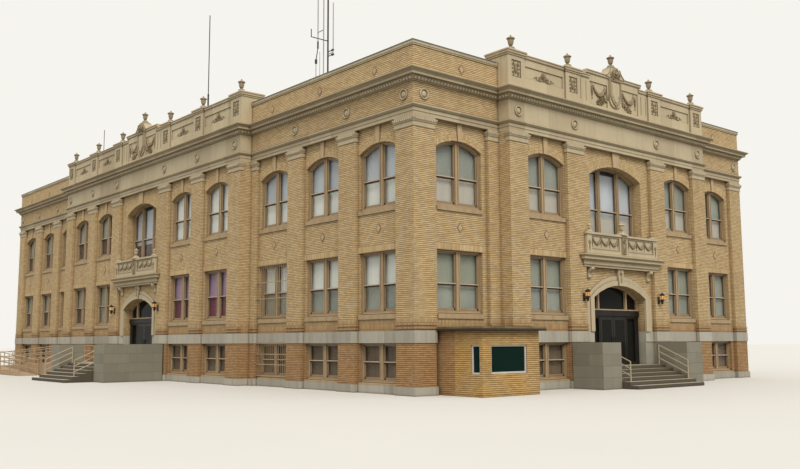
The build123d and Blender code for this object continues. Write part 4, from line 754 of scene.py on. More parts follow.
# For each finish: what makes it, its name and colours, and what differs from the usual
FINISHES = {
    "brick": (brick_material, ("buff_brick",), {}),
    "heads": (head_material, ("brick_heads",), {}),
    "trim": (stone_material, ("trim_stone", *TRIM), {"block": 0.75, "streaks": 0.3}),
    "carving": (stone_material, ("carved_stone", *TRIM), CARVED),
    # Darker carving: real stains on the crest foliage, and painted shade for the deep relief of festoons and
    # the shield rim.
    "stained_carving": (
        stone_material, ("stained_carving", (166, 146, 108), (122, 102, 68), TRIM_JOINT), CARVED,
    ),
    # Paler than the trim: painted light, so that the eggs show in the shadow of the cornice.
    "eggs": (stone_material, ("egg_stone", (240, 226, 192), (216, 198, 162), TRIM_JOINT), {"crevice_shade_amount": 0.6}),
    "urn": (stone_material, ("urn_stone", (160, 144, 112), (122, 106, 78), TRIM_JOINT), {}),
    "band": (
        stone_material, ("pale_stone", "stone.band_light", "stone.band_dark", (120, 114, 100)),
        {"block": 0.9, "seam": 0.0026, "streaks": 0.9, "patch": 1.0, "stain_and_shade_colour": (132, 116, 92)},
    ),
    "ashlar": (
        stone_material, ("ashlar_stone", "stone.ashlar_light", "stone.ashlar_dark", (106, 97, 80)),
        {"block": 0.60, "course": 0.228, "seam": 0.003, "streaks": 0.5, "patch": 1.5,
         "stain_and_shade_colour": (108, 100, 80)},
    ),
    "buff_concrete": (
        stone_material, ("buff_concrete", (196, 166, 126), (166, 136, 98), (128, 110, 86)), CAST,
    ),
    "concrete": (
        stone_material, ("concrete", (180, 173, 156), (154, 145, 126), (128, 122, 110)),
        {**CAST, "stain_and_shade_colour": (70, 58, 38), "riser_shade": 0.9},
    ),
    "plaster": (
        stone_material, ("room_floor", (120, 108, 92), (96, 84, 70), (70, 62, 52)),
        {"block": 0.3, "course": 0.3, "seam": 0.002, "streaks": 0.0, "patch": 1.0},
    ),
    "sill": (
        stone_material, ("sill_stone", "stone.sill_light", "stone.sill_dark", (104, 82, 54)),
        {**CUT, "streaks": 0.9, "stain_and_shade_colour": (112, 88, 56)},
    ),
    "keystone": (
        stone_material, ("keystone", (204, 178, 134), (178, 150, 108), (128, 98, 62)),
        {**CUT, "stain_and_shade_colour": (128, 100, 64)},
    ),
    # Dark rim round each lozenge: painted shade at its edge.
    "lozenge_rim": (
        stone_material, ("lozenge_rim", (150, 120, 82), (120, 92, 60), (100, 76, 48)),
        {**CUT, "stain_and_shade_colour": (90, 68, 42)},
    ),
    "roofing": (
        stone_material, ("roofing", (126, 122, 114), (114, 110, 103), (80, 76, 70)),
        {"block": 0.5, "course": 5.0, "seam": 0.003, "streaks": 0.0, "patch": 0.5},
    ),
    "doorway": (doorway_material, ("doorway_frame",), {}),
    "roof_edge": (annex_edge_material, ("annex_edge",), {}),
    "amber": (amber_material, ("amber_glass",), {}),
    "paint": (paint_material, ("frame_paint", "window.paint", "window.paint_dark", 0.55), {"crevice_shade_amount": 0.9}),
    "sash": (paint_material, ("sash_paint", "window.sash_paint", (124, 102, 74)), {"crevice_shade_amount": 0.9}),
    # Pale meeting rail: painted highlight; dark rail under it: painted shade.
    "rail": (paint_material, ("rail_paint", (208, 186, 160), (176, 152, 124)), {}),
    "rail_shade": (paint_material, ("rail_shade", (74, 60, 46), (52, 42, 34), 0.6), {}),
    "bronze": (paint_material, ("dark_bronze", *BRONZE, 0.38, 0.5), {}),
    "iron": (paint_material, ("dark_iron", (38, 36, 34), (62, 50, 38), 0.5, 0.4), {}),
    "cream_rail": (paint_material, ("cream_rail", (198, 182, 152), (158, 140, 112), 0.4, 0.2), {}),
    "tan_rail": (paint_material, ("tan_rail", (182, 160, 124), (150, 128, 96), 0.45), {}),
    "mast": (paint_material, ("mast_metal", (62, 62, 64), (44, 44, 46), 0.45, 0.4), {}),
    "pale_mast": (paint_material, ("pale_mast", (172, 176, 172), (146, 150, 146), 0.45, 0.4), {}),
    "white_frame": (paint_material, ("white_frame", (214, 214, 206), (176, 174, 162), 0.45), {}),
    "patina": (paint_material, ("patina_edge", (112, 120, 114), (78, 84, 78), 0.55, 0.3), {}),
    "screen": (paint_material, ("screen_metal", (186, 162, 124), (150, 128, 94), 0.5, 0.1), {}),
    "glass": (glass_material, ("window_pane", (242, 245, 242), 0.98), {}),
    "door_glass": (glass_material, ("door_pane", (34, 34, 30), 0.12), {}),
    "annex_glass": (glass_material, ("annex_pane", (20, 42, 36), 0.1), {}),
    "pale_blinds": (blind_material, ("pale_blind", "window.blind", (190, 182, 168)), {}),
    "green_blinds": (blind_material, ("green_blind", "window.green_blind", (142, 144, 126)), {}),
    "grey_blinds": (blind_material, ("grey_blind", "window.grey_blind", (136, 138, 128), 2.0), {}),
    "white_blinds": (blind_material, ("white_blind", "window.white_blind", (232, 236, 228)), {}),
    "cool_blinds": (blind_material, ("cool_blind", "window.cool_blind", (184, 190, 198), 2.0), {}),
    "brown_blinds": (blind_material, ("brown_blind", (126, 104, 77), (94, 76, 54)), {}),
    "dark_rooms": (blind_material, ("dark_room", (88, 54, 47), (48, 29, 27), 5.0), {}),
    "lilac_curtains": (blind_material, ("lilac_curtain", "window.lilac", (154, 118, 150)), {}),
    "plum_curtains": (blind_material, ("plum_curtain", "window.plum", (92, 4, 42)), {}),
}
MADE = {}

NODE_FINISH = {
    "brick": (
        "front_wall_left", "front_wall_right", "right_wall_near", "right_wall_far", "back_wall", "left_wall",
        "entrance_arch_walls", "pilasters", "corner_piers", "wing_frieze", "wing_parapet", "annex_walls",
    ),
    "sill": ("window_sills",),
    "urn": ("parapet_urns",),
    "keystone": ("window_keystones",),
    "doorway": ("entrance_frames",),
    "trim": (
        "architrave", "cornice", "pavilion_frieze", "parapet_coping", "parapet_panels", "parapet_crests",
    ),
    "carving": ("capitals", "parapet_piers", "entrance_surrounds", "entrance_hoods", "balconies"),
    "band": ("stone_band", "base_plinth"),
    "ashlar": ("cheek_walls",),
    "concrete": ("front_steps", "right_steps"),
    "buff_concrete": ("ramp",),
    "plaster": ("basement_floor", "first_floor", "second_floor"),
    "roofing": ("roof_deck",),
    "paint": ("window_frames",),
    "glass": ("window_glass",),
    "door_glass": ("entrance_glass",),
    "bronze": ("front_door_left", "front_door_right", "right_door_left", "right_door_right"),
    "iron": ("wall_lanterns",),
    "tan_rail": ("ramp_railings",),
    "cream_rail": ("handrails",),
    "mast": ("roof_masts",),
    "white_frame": ("annex_windows",),
    "roof_edge": ("annex_roof",),
}


def finish(name):
    """Material by name, made the first time it is asked for."""
    if name not in MADE:
        maker, values, details = FINISHES[name]
        MADE[name] = maker(*values, **details)
    return MADE[name]


class TOWNHALL_OT_build_stage(bpy.types.Operator):
    """Add the floor, the light and the camera."""

    bl_idname = "townhall.build_stage"
    bl_label = "Build stage"

    def execute(self, context):
        stage = settings("stage")
        self.floor(context.scene, stage)
        self.light(context.scene, stage)
        self.camera(context.scene, stage)
        return {"FINISHED"}

    def floor(self, scene, stage):
        corners = [(x * FLOOR_HALF, y * FLOOR_HALF, 0) for x, y in ((-1, -1), (1, -1), (1, 1), (-1, 1))]
        mesh = bpy.data.meshes.new("floor")
        mesh.from_pydata(corners, [], [(0, 1, 2, 3)])
        m = Finish("floor")
        uneven = m.ramp(m.noise(m.spot(), 0.3, 2.0), 0.3, 0.7, 0.0, 0.12)
        pale = m.mix(uneven, tuple(stage.floor), (0.6, 0.59, 0.56, 1))
        seen = m.add("ShaderNodeLightPath").outputs["Is Camera Ray"]
        mesh.materials.append(m.ends(Base_Color=m.mix(seen, (0.24, 0.23, 0.21, 1), pale), Roughness=0.9))
        floor = bpy.data.objects.new("floor", mesh)
        scene.collection.objects.link(floor)

    def light(self, scene, stage):
        world = bpy.data.worlds.new("studio")
        world.use_nodes = True
        n = Nodes(world.node_tree)
        n.tree.nodes.clear()
        path = n.add("ShaderNodeLightPath").outputs
        seen = n.math("MAXIMUM", path["Is Camera Ray"], path["Is Glossy Ray"])
        seen = n.math("MAXIMUM", seen, path["Is Transmission Ray"])
        height = n.axes(n.add("ShaderNodeTexCoord").outputs["Generated"])[2]
        strength = n.ramp(height, -0.2, 0.7, 0.55 * stage.sky, 1.15 * stage.sky)
        soft = n.add("ShaderNodeBackground", {"Color": (1.0, 0.99, 0.97, 1), "Strength": strength})
        backdrop = n.add("ShaderNodeBackground", {"Color": tuple(stage.backdrop), "Strength": 1.0})
        shown = n.add("ShaderNodeMixShader", {0: seen, 1: soft.outputs[0], 2: backdrop.outputs[0]})
        n.add("ShaderNodeOutputWorld", {"Surface": shown.outputs[0]})
        scene.world = world
        lamp = bpy.data.lights.new("key", "SUN")
        lamp.energy = stage.sun
        lamp.angle = math.radians(KEY_SPREAD)
        lamp.color = KEY_COLOUR
        key = bpy.data.objects.new("key", lamp)
        key.rotation_euler = Vector(KEY_DIRECTION).to_track_quat("-Z", "Y").to_euler()
        scene.collection.objects.link(key)

    def camera(self, scene, stage):
        scene.view_settings.view_transform = "Standard"
        yaw, pitch, roll = (math.radians(a) for a in (CAMERA_YAW, CAMERA_PITCH, CAMERA_ROLL))
        ahead = Vector((-math.sin(yaw) * math.cos(pitch), math.cos(yaw) * math.cos(pitch), math.sin(pitch)))
        across = Vector((math.cos(yaw), math.sin(yaw), 0))
        up = across.cross(ahead)
        right = across * math.cos(roll) + up * math.sin(roll)
        top = up * math.cos(roll) - across * math.sin(roll)
        lens = bpy.data.cameras.new("camera")
        lens.sensor_width = 36.0
        lens.sensor_fit = "HORIZONTAL"
        lens.lens = stage.lens
        lens.clip_end = 500.0
        camera = bpy.data.objects.new("camera", lens)
        turn = Matrix((right, top, -ahead)).transposed().to_4x4()
        camera.matrix_world = Matrix.Translation(CAMERA_PLACE) @ turn
        scene.collection.objects.link(camera)
        scene.camera = camera


class TOWNHALL_OT_finish_packed_parts(bpy.types.Operator):
    """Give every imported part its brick, stone, paint, metal or glass."""

    bl_idname = "townhall.finish_packed_parts"
    bl_label = "Finish packed parts"

    def execute(self, context):
        left = set(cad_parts)
        for name, nodes in NODE_FINISH.items():
            for node in nodes:
                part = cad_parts[node]
                if not part.material_slots:
                    part.data.materials.append(finish(name))
                for holder in part.material_slots:
                    holder.material = finish(name)
                left.discard(node)
        if left:
            raise RuntimeError(f"no finish for {sorted(left)}")
        return {"FINISHED"}


class Window:
    """One window: its place, the wall face it is set back from, and its segmental opening."""

    def __init__(self, front, u, storey, wide=False):
        self.front, self.u, self.storey, self.wide = front, u, storey, wide
        self.low, self.spring, self.rise = WIDE_WINDOW if wide else STOREYS[storey]
        self.face = WIDE_PANEL if wide else front.panel(u)
        self.half = WIDE_HALF if wide else WIN_HALF
        self.inner = self.half - JAMB
        self.foot = self.low + FOOT_RAIL
        self.middle = self.foot + MEETING[storey] * (self.spring - HEAD_RAIL + self.rise - self.foot)
        third = self.half * WIDE_POST_SHARE
        wide_posts = [(-third - 0.10, -third + 0.06), (third - 0.06, third + 0.10)]
        self.posts = wide_posts if wide else [(-POST_HALF, POST_HALF)]

    def lights(self):
        """Left and right edge of each pair of sashes."""
        edges = [-self.inner, *(edge for post in self.posts for edge in post), self.inner]
        return list(zip(edges[::2], edges[1::2]))

    def head(self, v, inside=False):
        """Height of the wall's opening at v, or of the frame's."""
        half, spring = (self.inner, self.spring - HEAD_RAIL) if inside else (self.half, self.spring)
        if not self.rise:
            return spring
        radius = arc_radius(half, self.rise)
        return spring + self.rise - radius + math.sqrt(max(radius * radius - v * v, 0))

    def outline(self, inside=False):
        """Outline of the wall's opening, or of the frame's, from its lower left corner."""
        half, low = (self.inner, self.foot) if inside else (self.half, self.low)
        count = 8 if self.rise else 1
        top = [half * (2 * k / count - 1) for k in range(count + 1)]
        return [(-half, low)] + [(v, self.head(v, inside)) for v in top] + [(half, low)]

    def bar(self, relief, a, b, z0, z1, back, face):
        """Bar in the window, with its depths measured back from the wall face."""
        relief.bar(self.front, self.u + a, self.u + b, z0, z1, self.face - back, self.face - face)


def all_windows():
    """Every window by storey, less the one behind the annex, then the two wide ones."""
    for storey in STOREYS:
        for front in FRONTS:
            behind_annex = 1 if front is RIGHT and storey == "base" else 0
            for u in front.windows[behind_annex:]:
                yield Window(front, u, storey)
    for front in PAVILIONS:
        yield Window(front, 0, "second", True)


class TOWNHALL_OT_lay_brick_heads(bpy.types.Operator):
    """Lay the brick arches of the upper windows and the upright course over the lower ones."""

    bl_idname = "townhall.lay_brick_heads"
    bl_label = "Lay brick heads"

    def execute(self, context):
        rings = settings("carving").arch_rings
        arches, courses = Relief(), Relief()
        for w in all_windows():
            if w.storey == "second":
                self.arch(arches, w, rings + 1 if w.wide else rings)
            elif w.storey == "first":
                self.course(courses, w)
        arches.make("brick_arch_rings", "heads", "brick")
        courses.make("brick_upright_courses", "heads", "brick")
        return {"FINISHED"}

    def arch(self, arches, w, rings):
        """Rings of brick on edge round a segmental head, clear of the keystone."""
        face = w.front.panel(w.u)
        radius = arc_radius(w.half, w.rise)
        centre = w.spring + w.rise - radius
        sweep = math.asin(w.half / radius)
        keystone = WIDE_KEYSTONE_HALF if w.wide else KEYSTONE_HALF
        for ring in range(rings):
            r0 = radius + ring * RING_HEIGHT + EDGE_JOINT / 2
            r1 = r0 + RING_HEIGHT - EDGE_JOINT
            count = int(2 * sweep * r0 / EDGE_PITCH)
            for k in range(count):
                a0 = sweep * (2 * k / count - 1) + EDGE_JOINT / 2 / r0
                a1 = sweep * (2 * (k + 1) / count - 1) - EDGE_JOINT / 2 / r0
                if abs((a0 + a1) / 2 * radius) >= keystone:
                    corners = [(r0, a0), (r0, a1), (r1, a1), (r1, a0)]
                    outline = [(w.u + r * math.sin(a), centre + r * math.cos(a)) for r, a in corners]
                    arches.plate(w.front, outline, face - 0.02, face + 0.006, 0.004)

    def course(self, courses, w):
        """Row of bricks on end over a flat head."""
        for k in range(BRICKS_OVER_WINDOW):
            a = w.u + (k - BRICKS_OVER_WINDOW / 2) * EDGE_PITCH
            courses.bar(
                w.front, a + EDGE_JOINT / 2, a + EDGE_PITCH - EDGE_JOINT / 2,
                w.spring + 0.008, w.spring + 0.235, w.face - 0.02, w.face + 0.008, 0.004,
            )


class TOWNHALL_OT_frame_windows(bpy.types.Operator):
    """Build the window frames: jambs, head, foot rail and the posts between the lights."""

    bl_idname = "townhall.frame_windows"
    bl_label = "Frame windows"

    def execute(self, context):
        bars = Relief()
        for w in all_windows():
            self.ring(bars, w)
            for a, b in w.posts:
                top = w.head(max(abs(a), abs(b)), True) + 0.03
                w.bar(bars, a, b, w.low + 0.08, top, FRAME_BACK - 0.002, FRAME_FACE + 0.002)
        piece = bars.make("window_frame_bars", "paint", "window_frame_paint")
        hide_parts("window_frames")
        return {"FINISHED"}

    def ring(self, bars, w):
        outside, inside = w.outline(), w.outline(True)
        back, near = w.face - FRAME_BACK, w.face - FRAME_FACE
        n = len(outside)
        points, faces = [], []
        for line, out in ((outside, back), (outside, near), (inside, near), (inside, back)):
            points += [(w.u + v, out, z) for v, z in line]
        for side in range(4):
            a, b = side * n, (side + 1) % 4 * n
            faces += [[a + k, a + (k + 1) % n, b + (k + 1) % n, b + k] for k in range(n)]
        bars.solid(w.front, points, faces)


class TOWNHALL_OT_fit_sashes(bpy.types.Operator):
    """Fit the sashes, their meeting rails and the beads of the frames."""

    bl_idname = "townhall.fit_sashes"
    bl_label = "Fit sashes"

    def execute(self, context):
        window = settings("window")
        sashes, rails, shade, beads = Relief(), Relief(), Relief(), Relief()
        for w in all_windows():
            self.sashes(sashes, rails, shade, w, window.sash_width, window.rail_height)
            self.beads(beads, w)
        sashes.make("window_sashes", "sash", "window_frame_paint")
        rails.make("meeting_rails", "rail", "window_frame_paint")
        shade.make("lower_sash_rails", "rail_shade", "window_frame_paint")
        beads.make("window_frame_beads", "paint", "window_frame_paint")
        return {"FINISHED"}

    def sashes(self, sashes, rails, shade, w, width, rail):
        """Upper and lower sash of every light, with the painted highlight of the upper rail and the painted
        shade of the lower rail between them.
        """
        for a, b in w.lights():
            arc = [a + (b - a) * k / 6 for k in range(7)]
            line = [(w.u + v, w.head(v, True)) for v in arc]
            low, high = [(x, z - width) for x, z in line], [(x, z + 0.01) for x, z in line]
            sashes.strip(w.front, low, high, *(w.face - depth for depth in UPPER_SASH))
            for v0, v1 in ((a, a + width), (b - width, b)):
                top = min(w.head(v0, True), w.head(v1, True)) - width * 0.4
                w.bar(sashes, v0, v1, w.middle, top, *UPPER_SASH)
                w.bar(sashes, v0, v1, w.foot, w.middle + rail / 2, *LOWER_SASH)
            back, face = UPPER_SASH
            w.bar(rails, a, b, w.middle - rail * 0.1, w.middle + rail * 0.5, back, face - 0.012)
            w.bar(shade, a, b, w.middle - rail, w.middle - rail * 0.1, *LOWER_SASH)
            w.bar(sashes, a, b, w.foot, w.foot + 0.09, *LOWER_SASH)

    def beads(self, beads, w):
        """Raised beads on the posts, the jambs and the foot rail of the frame."""
        spread, buried = 0.04 if w.wide else 0.07, FRAME_FACE + 0.01
        for a, b in w.posts:
            for v in ((a + b) / 2 - spread, (a + b) / 2 + spread):
                w.bar(beads, v - 0.018, v + 0.018, w.foot, w.head(v, True), buried, FRAME_FACE - 0.018)
        edge = w.half - 0.005
        for a, b in ((-edge, -edge + 0.04), (edge - 0.04, edge)):
            w.bar(beads, a, b, w.low + 0.04, w.head(edge) - 0.03, buried, FRAME_FACE - 0.03)
        w.bar(beads, -edge, edge, w.low + 0.002, w.low + 0.055, buried, FRAME_FACE - 0.03)


BLINDS = (
    "pale_blinds", "green_blinds", "grey_blinds", "white_blinds", "cool_blinds", "brown_blinds", "dark_rooms",
    "lilac_curtains", "plum_curtains",
)


def blinds_of(w):
    """What hangs behind the upper and the lower sash of a window."""
    if w.wide:
        return "cool_blinds", "dark_rooms" if w.front is FRONT else "pale_blinds"
    if w.front is FRONT and (w.u < -5 or w.u < 0 and w.storey == "second"):
        return "dark_rooms" if w.storey == "base" else "grey_blinds", "dark_rooms"
    if w.front is FRONT and w.storey == "second":
        return "white_blinds" if w.u < 10 else "cool_blinds", "white_blinds"
    if w.front is FRONT and w.storey == "first":
        if w.u < 0:
            return "green_blinds", "green_blinds"
        return ("lilac_curtains", "plum_curtains") if w.u < 10 else ("white_blinds", "grey_blinds")
    return {
        "second": ("grey_blinds", "pale_blinds"), "first": ("green_blinds", "grey_blinds"),
        "base": ("brown_blinds", "brown_blinds"),
    }[w.storey]


class TOWNHALL_OT_hang_blinds(bpy.types.Operator):
    """Hang the blinds and curtains behind the glass."""

    bl_idname = "townhall.hang_blinds"
    bl_label = "Hang blinds"

    def execute(self, context):
        kinds = {name: Relief() for name in BLINDS}
        for w in all_windows():
            low, middle, top = w.low + 0.06, w.middle, w.spring + w.rise * 0.7
            lap, depth = 0.05, FRAME_BACK + 0.08
            if w.wide:
                low, middle, top = w.low + 0.08, WIDE_BLIND_FOOT, w.spring + 0.2
                lap, depth = 0.03, FRAME_BACK + 0.10
            upper, lower = blinds_of(w)
            for a, b in w.lights():
                w.bar(kinds[upper], a - lap, b + lap, middle, top, depth + 0.02, depth)
                w.bar(kinds[lower], a - lap, b + lap, low, middle, depth + 0.03, depth + 0.01)
        for name, relief in kinds.items():
            relief.make(name, name, "window_frame_paint")
        return {"FINISHED"}


class TOWNHALL_OT_fit_window_screens(bpy.types.Operator):
    """Fit the barred screens over one bay of the front."""

    bl_idname = "townhall.fit_window_screens"
    bl_label = "Fit window screens"

    def execute(self, context):
        screens, rods = Relief(), 15
        u = FRONT.windows[7]
        out = FRONT.panel(u) + 0.035
        for low, top, _ in (STOREYS["first"], STOREYS["base"]):
            for k in range(rods):
                v = u - 1.15 + 2.30 * k / (rods - 1)
                screens.rope(FRONT, [(v, out, low + 0.03), (v, out, top + 0.02)], 0.007)
            for t in (0.02, 0.36, 0.67, 1.0):
                z = low + 0.03 + t * (top - low - 0.02)
                screens.bar(FRONT, u - 1.29, u + 1.29, z - 0.018, z + 0.018, out - 0.012, out + 0.014)
                for v in (u - 1.26, u + 1.26):
                    screens.bar(FRONT, v - 0.02, v + 0.02, z - 0.025, z + 0.025, out - 0.06, out + 0.02)
        screens.make("window_screens", "screen", "window_frame_paint", smooth=True)
        return {"FINISHED"}


class TOWNHALL_OT_carve_egg_bands(bpy.types.Operator):
    """Carve the eggs under the cornice and on the capitals."""

    bl_idname = "townhall.carve_egg_bands"
    bl_label = "Carve egg bands"

    def execute(self, context):
        carving = settings("carving")
        band, capitals = Relief(), Relief()
        pitch, capital_pitch = carving.egg_pitch, carving.capital_pitch
        for front, length in plan_edges(CORNICE_BAND_OUT):
            self.row(band, front, 0.05, length - 0.05, CORNICE_EGGS, pitch, CORNICE_EGG, 0.0)
        for front in FRONTS:
            for a, b in front.pier_spans():
                out = front.pier_face((a + b) / 2) + CAPITAL_BAND_OUT
                self.row(capitals, front, a - 0.02, b + 0.02, CAPITAL_EGGS, capital_pitch, CAPITAL_EGG, out)
        band.make("cornice_eggs", "eggs", "trim_stone", smooth=True)
        capitals.make("capital_eggs", "eggs", "trim_stone", smooth=True)
        return {"FINISHED"}

    def row(self, relief, front, a, b, z, pitch, egg, out):
        count = int((b - a) / pitch)
        start = (a + b) / 2 - (count - 1) * pitch / 2
        for k in range(count):
            relief.dome(front, start + k * pitch, z, out - 0.01, *egg, 6)


class TOWNHALL_OT_carve_roundels(bpy.types.Operator):
    """Carve the roundels of the frieze, one over each pilaster."""

    bl_idname = "townhall.carve_roundels"
    bl_label = "Carve roundels"

    def execute(self, context):
        radius = settings("carving").roundel
        profile = [
            (1, -0.01), (1, 0.035), (0.94, 0.055), (0.80, 0.055), (0.72, 0.028), (0.66, 0.004),
            (0.60, 0.010), (0.48, 0.036), (0.25, 0.050), (0.05, 0.052),
        ]
        profile = [(radius * r, rise) for r, rise in profile]
        relief = Relief()
        for front in FRONTS:
            for a, b in front.pier_spans():
                u = (a + b) / 2
                relief.turned(front, u, ROUNDELS, profile, front.pier_face(u), 24)
        relief.make("frieze_roundels", "carving", "trim_stone", smooth=True)
        return {"FINISHED"}


class TOWNHALL_OT_lay_lozenges(bpy.types.Operator):
    """Set the raised lozenges between the storeys and on the wing parapets, each in a darker rim of painted
    shade.
    """

    bl_idname = "townhall.lay_lozenges"
    bl_label = "Lay lozenges"

    def execute(self, context):
        half = settings("carving").lozenge
        rims, centres = Relief(), Relief()
        for front in FRONTS:
            for u in front.windows:
                self.lozenge(rims, centres, front, u, STOREY_LOZENGE, front.panel(u), half)
                if abs(u) > front.pavilion:
                    self.lozenge(rims, centres, front, u, PARAPET_LOZENGE, 0.0, half)
        rims.make("lozenge_rims", "lozenge_rim", "brick")
        centres.make("brick_lozenges", "keystone", "brick")
        return {"FINISHED"}

    def lozenge(self, rims, centres, front, u, z, face, half):
        for relief, share, back, near, chamfer in (
            (rims, 1.0, -0.02, 0.012, 0.004), (centres, 0.68, 0.008, 0.020, 0.006),
        ):
            w, h = share * half, share * half * 1.28
            corners = [(u - w, z), (u, z - h), (u + w, z), (u, z + h)]
            relief.plate(front, corners, face + back, face + near, chamfer)


class TOWNHALL_OT_carve_cartouches(bpy.types.Operator):
    """Carve the cartouches of the parapet piers and the foliage of the panels between them."""

    bl_idname = "townhall.carve_cartouches"
    bl_label = "Carve cartouches"

    def execute(self, context):
        piers, panels = Relief(), Relief()
        for front in PAVILIONS:
            inner = [3.05, 6.64] if front is FRONT else [2.955]
            centres = inner + [front.pavilion - PARAPET_PIER_HALF]
            for u in both(centres):
                self.cartouche(piers, front, u)
            for a, b in zip(centres, centres[1:]):
                for s in SIDES:
                    self.foliage(panels, front, s * (a + b) / 2)
        piers.make("pier_cartouches", "stained_carving", "trim_stone", smooth=True)
        panels.make("panel_foliage", "stained_carving", "trim_stone", smooth=True)
        return {"FINISHED"}

    def cartouche(self, relief, front, u):
        out, z, low, top = PAVILION_OUT - 0.03, 12.54, 12.23, 12.85
        rim = [(u - 0.25, low), (u + 0.25, low), (u + 0.25, top), (u - 0.25, top), (u - 0.25, low)]
        relief.rope(front, [(a, out + 0.004, b) for a, b in rim], 0.012, 4)
        boss = [(0.085, -0.01), (0.085, 0.03), (0.07, 0.045), (0.06, 0.03), (0.045, 0.05), (0.01, 0.062)]
        relief.turned(front, u, z, boss, out, 12, 2.3)
        for s in SIDES:
            for t in SIDES:
                turn, slant = math.pi / 2 * t, math.atan2(t, s * 0.5)
                relief.scroll(front, u + s * 0.155, z + t * 0.17, out, 0.075, 1.2, turn, s * t, 0.022)
                relief.leaf(front, u + s * 0.09, z + t * 0.24, out, slant, 0.12, 0.07, 0.03)
            relief.leaf(front, u + s * 0.10, z, out, mirrored(0, s), 0.13, 0.09, 0.035)

    def foliage(self, relief, front, u):
        out, z = FIELD_OUT, 12.42
        for k in range(-3, 4):
            relief.leaf(front, u, z, out, math.pi / 2 + k * 0.42, 0.36 - 0.055 * abs(k), 0.10, 0.05)
        relief.drop(front, u, z + 0.16, 0.20, 0.03, out + 0.03)
        relief.dome(front, u, z, out, 0.06, 0.06, 0.06)

        def stem(s, t):
            return u + s * (0.06 + 0.50 * t), z - 0.02 - 0.07 * math.sin(math.pi * t) + 0.03 * t

        for s in SIDES:
            path, radii = [], []
            for k in range(9):
                x, height = stem(s, k / 8)
                path.append((x, out + 0.006, height))
                radii.append(0.026 - 0.014 * k / 8)
            relief.rope(front, path, radii)
            relief.scroll(front, u + s * 0.24, z + 0.03, out, 0.085, 1.3, -math.pi / 2, s, 0.02)
            relief.scroll(front, u + s * 0.45, z + 0.02, out, 0.06, 1.2, -math.pi / 2, s, 0.017)
            for k, t in enumerate((0.15, 0.35, 0.55, 0.75, 1.0)):
                tilt = mirrored(0.9 if k % 2 else -0.7, s)
                relief.leaf(front, *stem(s, t), out, tilt, 0.10, 0.055, 0.025)


class TOWNHALL_OT_carve_crests(bpy.types.Operator):
    """Carve the shields, festoons and bosses of the two crests."""

    bl_idname = "townhall.carve_crests"
    bl_label = "Carve crests"

    def execute(self, context):
        relief, foliage = Relief(), Relief()
        for front in PAVILIONS:
            self.shield(relief, foliage, front)
            self.boss(foliage, front)
            for s in SIDES:
                self.side(relief, foliage, front, s)
        relief.make("crest_carving", "carving", "trim_stone", smooth=True)
        foliage.make("crest_foliage", "stained_carving", "trim_stone", smooth=True)
        return {"FINISHED"}

    def shield(self, relief, foliage, front):
        """Raised field with a rounded foot, inside a rim darkened by stains and painted shade."""
        face = PANEL_OUT + 0.06
        half, low, top = 0.37, 12.12, 13.26
        knee = low + 0.42 * (top - low)
        right = [(half, top), (half, knee)]
        for k in range(1, 6):
            t = k / 6
            right.append((half * math.cos(math.pi / 2 * t) ** 0.8, knee - (knee - low) * t ** 1.15))
        line = right + [(0.0, low)] + [(-x, z) for x, z in reversed(right)]
        foliage.rope(front, [(x, face + 0.008, z) for x, z in line + line[:1]], 0.046)
        inner = [(x * 0.70, z + (0.10 if z < knee else -0.10)) for x, z in line]
        relief.plate(front, inner, face - 0.01, face + 0.035, 0.05)

    def boss(self, relief, front):
        """Round boss over the shield, with scrolls and leaves beside it."""
        face = PANEL_OUT + 0.08
        profile = [
            (0.20, -0.01), (0.20, 0.05), (0.16, 0.08), (0.13, 0.05), (0.11, 0.05), (0.08, 0.10), (0.02, 0.12),
        ]
        relief.turned(front, 0, 13.60, profile, face)
        for s in SIDES:
            relief.scroll(front, s * 0.24, 13.50, face, 0.12, 1.2, math.pi / 2, -s, 0.03)
            path = [(s * (0.34 + 0.30 * k / 7), face + 0.01, 13.80 - 0.38 * (k / 7) ** 0.6) for k in range(8)]
            relief.rope(front, path, 0.022)
            relief.leaf(front, s * 0.10, 13.44, face, -math.pi / 2 - s * 0.5, 0.22, 0.12, 0.05)

    def side(self, relief, foliage, front, s):
        """Festoon, scrolls and the spray of leaves at the foot, on one side of the shield."""
        out, top = FIELD_OUT, 12.80
        a, b = s * 0.64, s * 1.50
        foliage.swag(front, a, b, top, 0.36, 0.085, out)
        foliage.drop(front, b + s * 0.06, top - 0.02, 0.50, 0.06, out)
        foliage.drop(front, a - s * 0.02, top - 0.02, 0.34, 0.05, out)
        relief.rosette(front, b, top + 0.03, out, 0.13)
        relief.rosette(front, a, top + 0.03, out, 0.11)
        for k in range(14):
            t = k / 13
            x, z = s * (0.46 + 0.70 * t), 12.04 + 0.34 * (1 - t) ** 1.5 + 0.05 * (k % 3)
            tilt = mirrored(1.5 - 1.5 * t + 0.5 * (k % 2), s)
            foliage.leaf(front, x, z, out, tilt, 0.24 - 0.09 * t, 0.13, 0.08)
            foliage.dome(front, x + 0.03 * (k % 2), z - 0.02, out, 0.055, 0.055, 0.07, 6)
        relief.scroll(front, s * 0.56, 12.42, out, 0.13, 1.3, -math.pi / 2, s, 0.04)
        relief.scroll(front, s * 1.02, 12.12, out, 0.09, 1.2, -math.pi / 2, s, 0.03)
        for u in (1.98, 2.34):
            relief.bar(front, s * u, s * (u + 0.035), 12.10, 12.92, PANEL_OUT - 0.01, PANEL_OUT + 0.02)


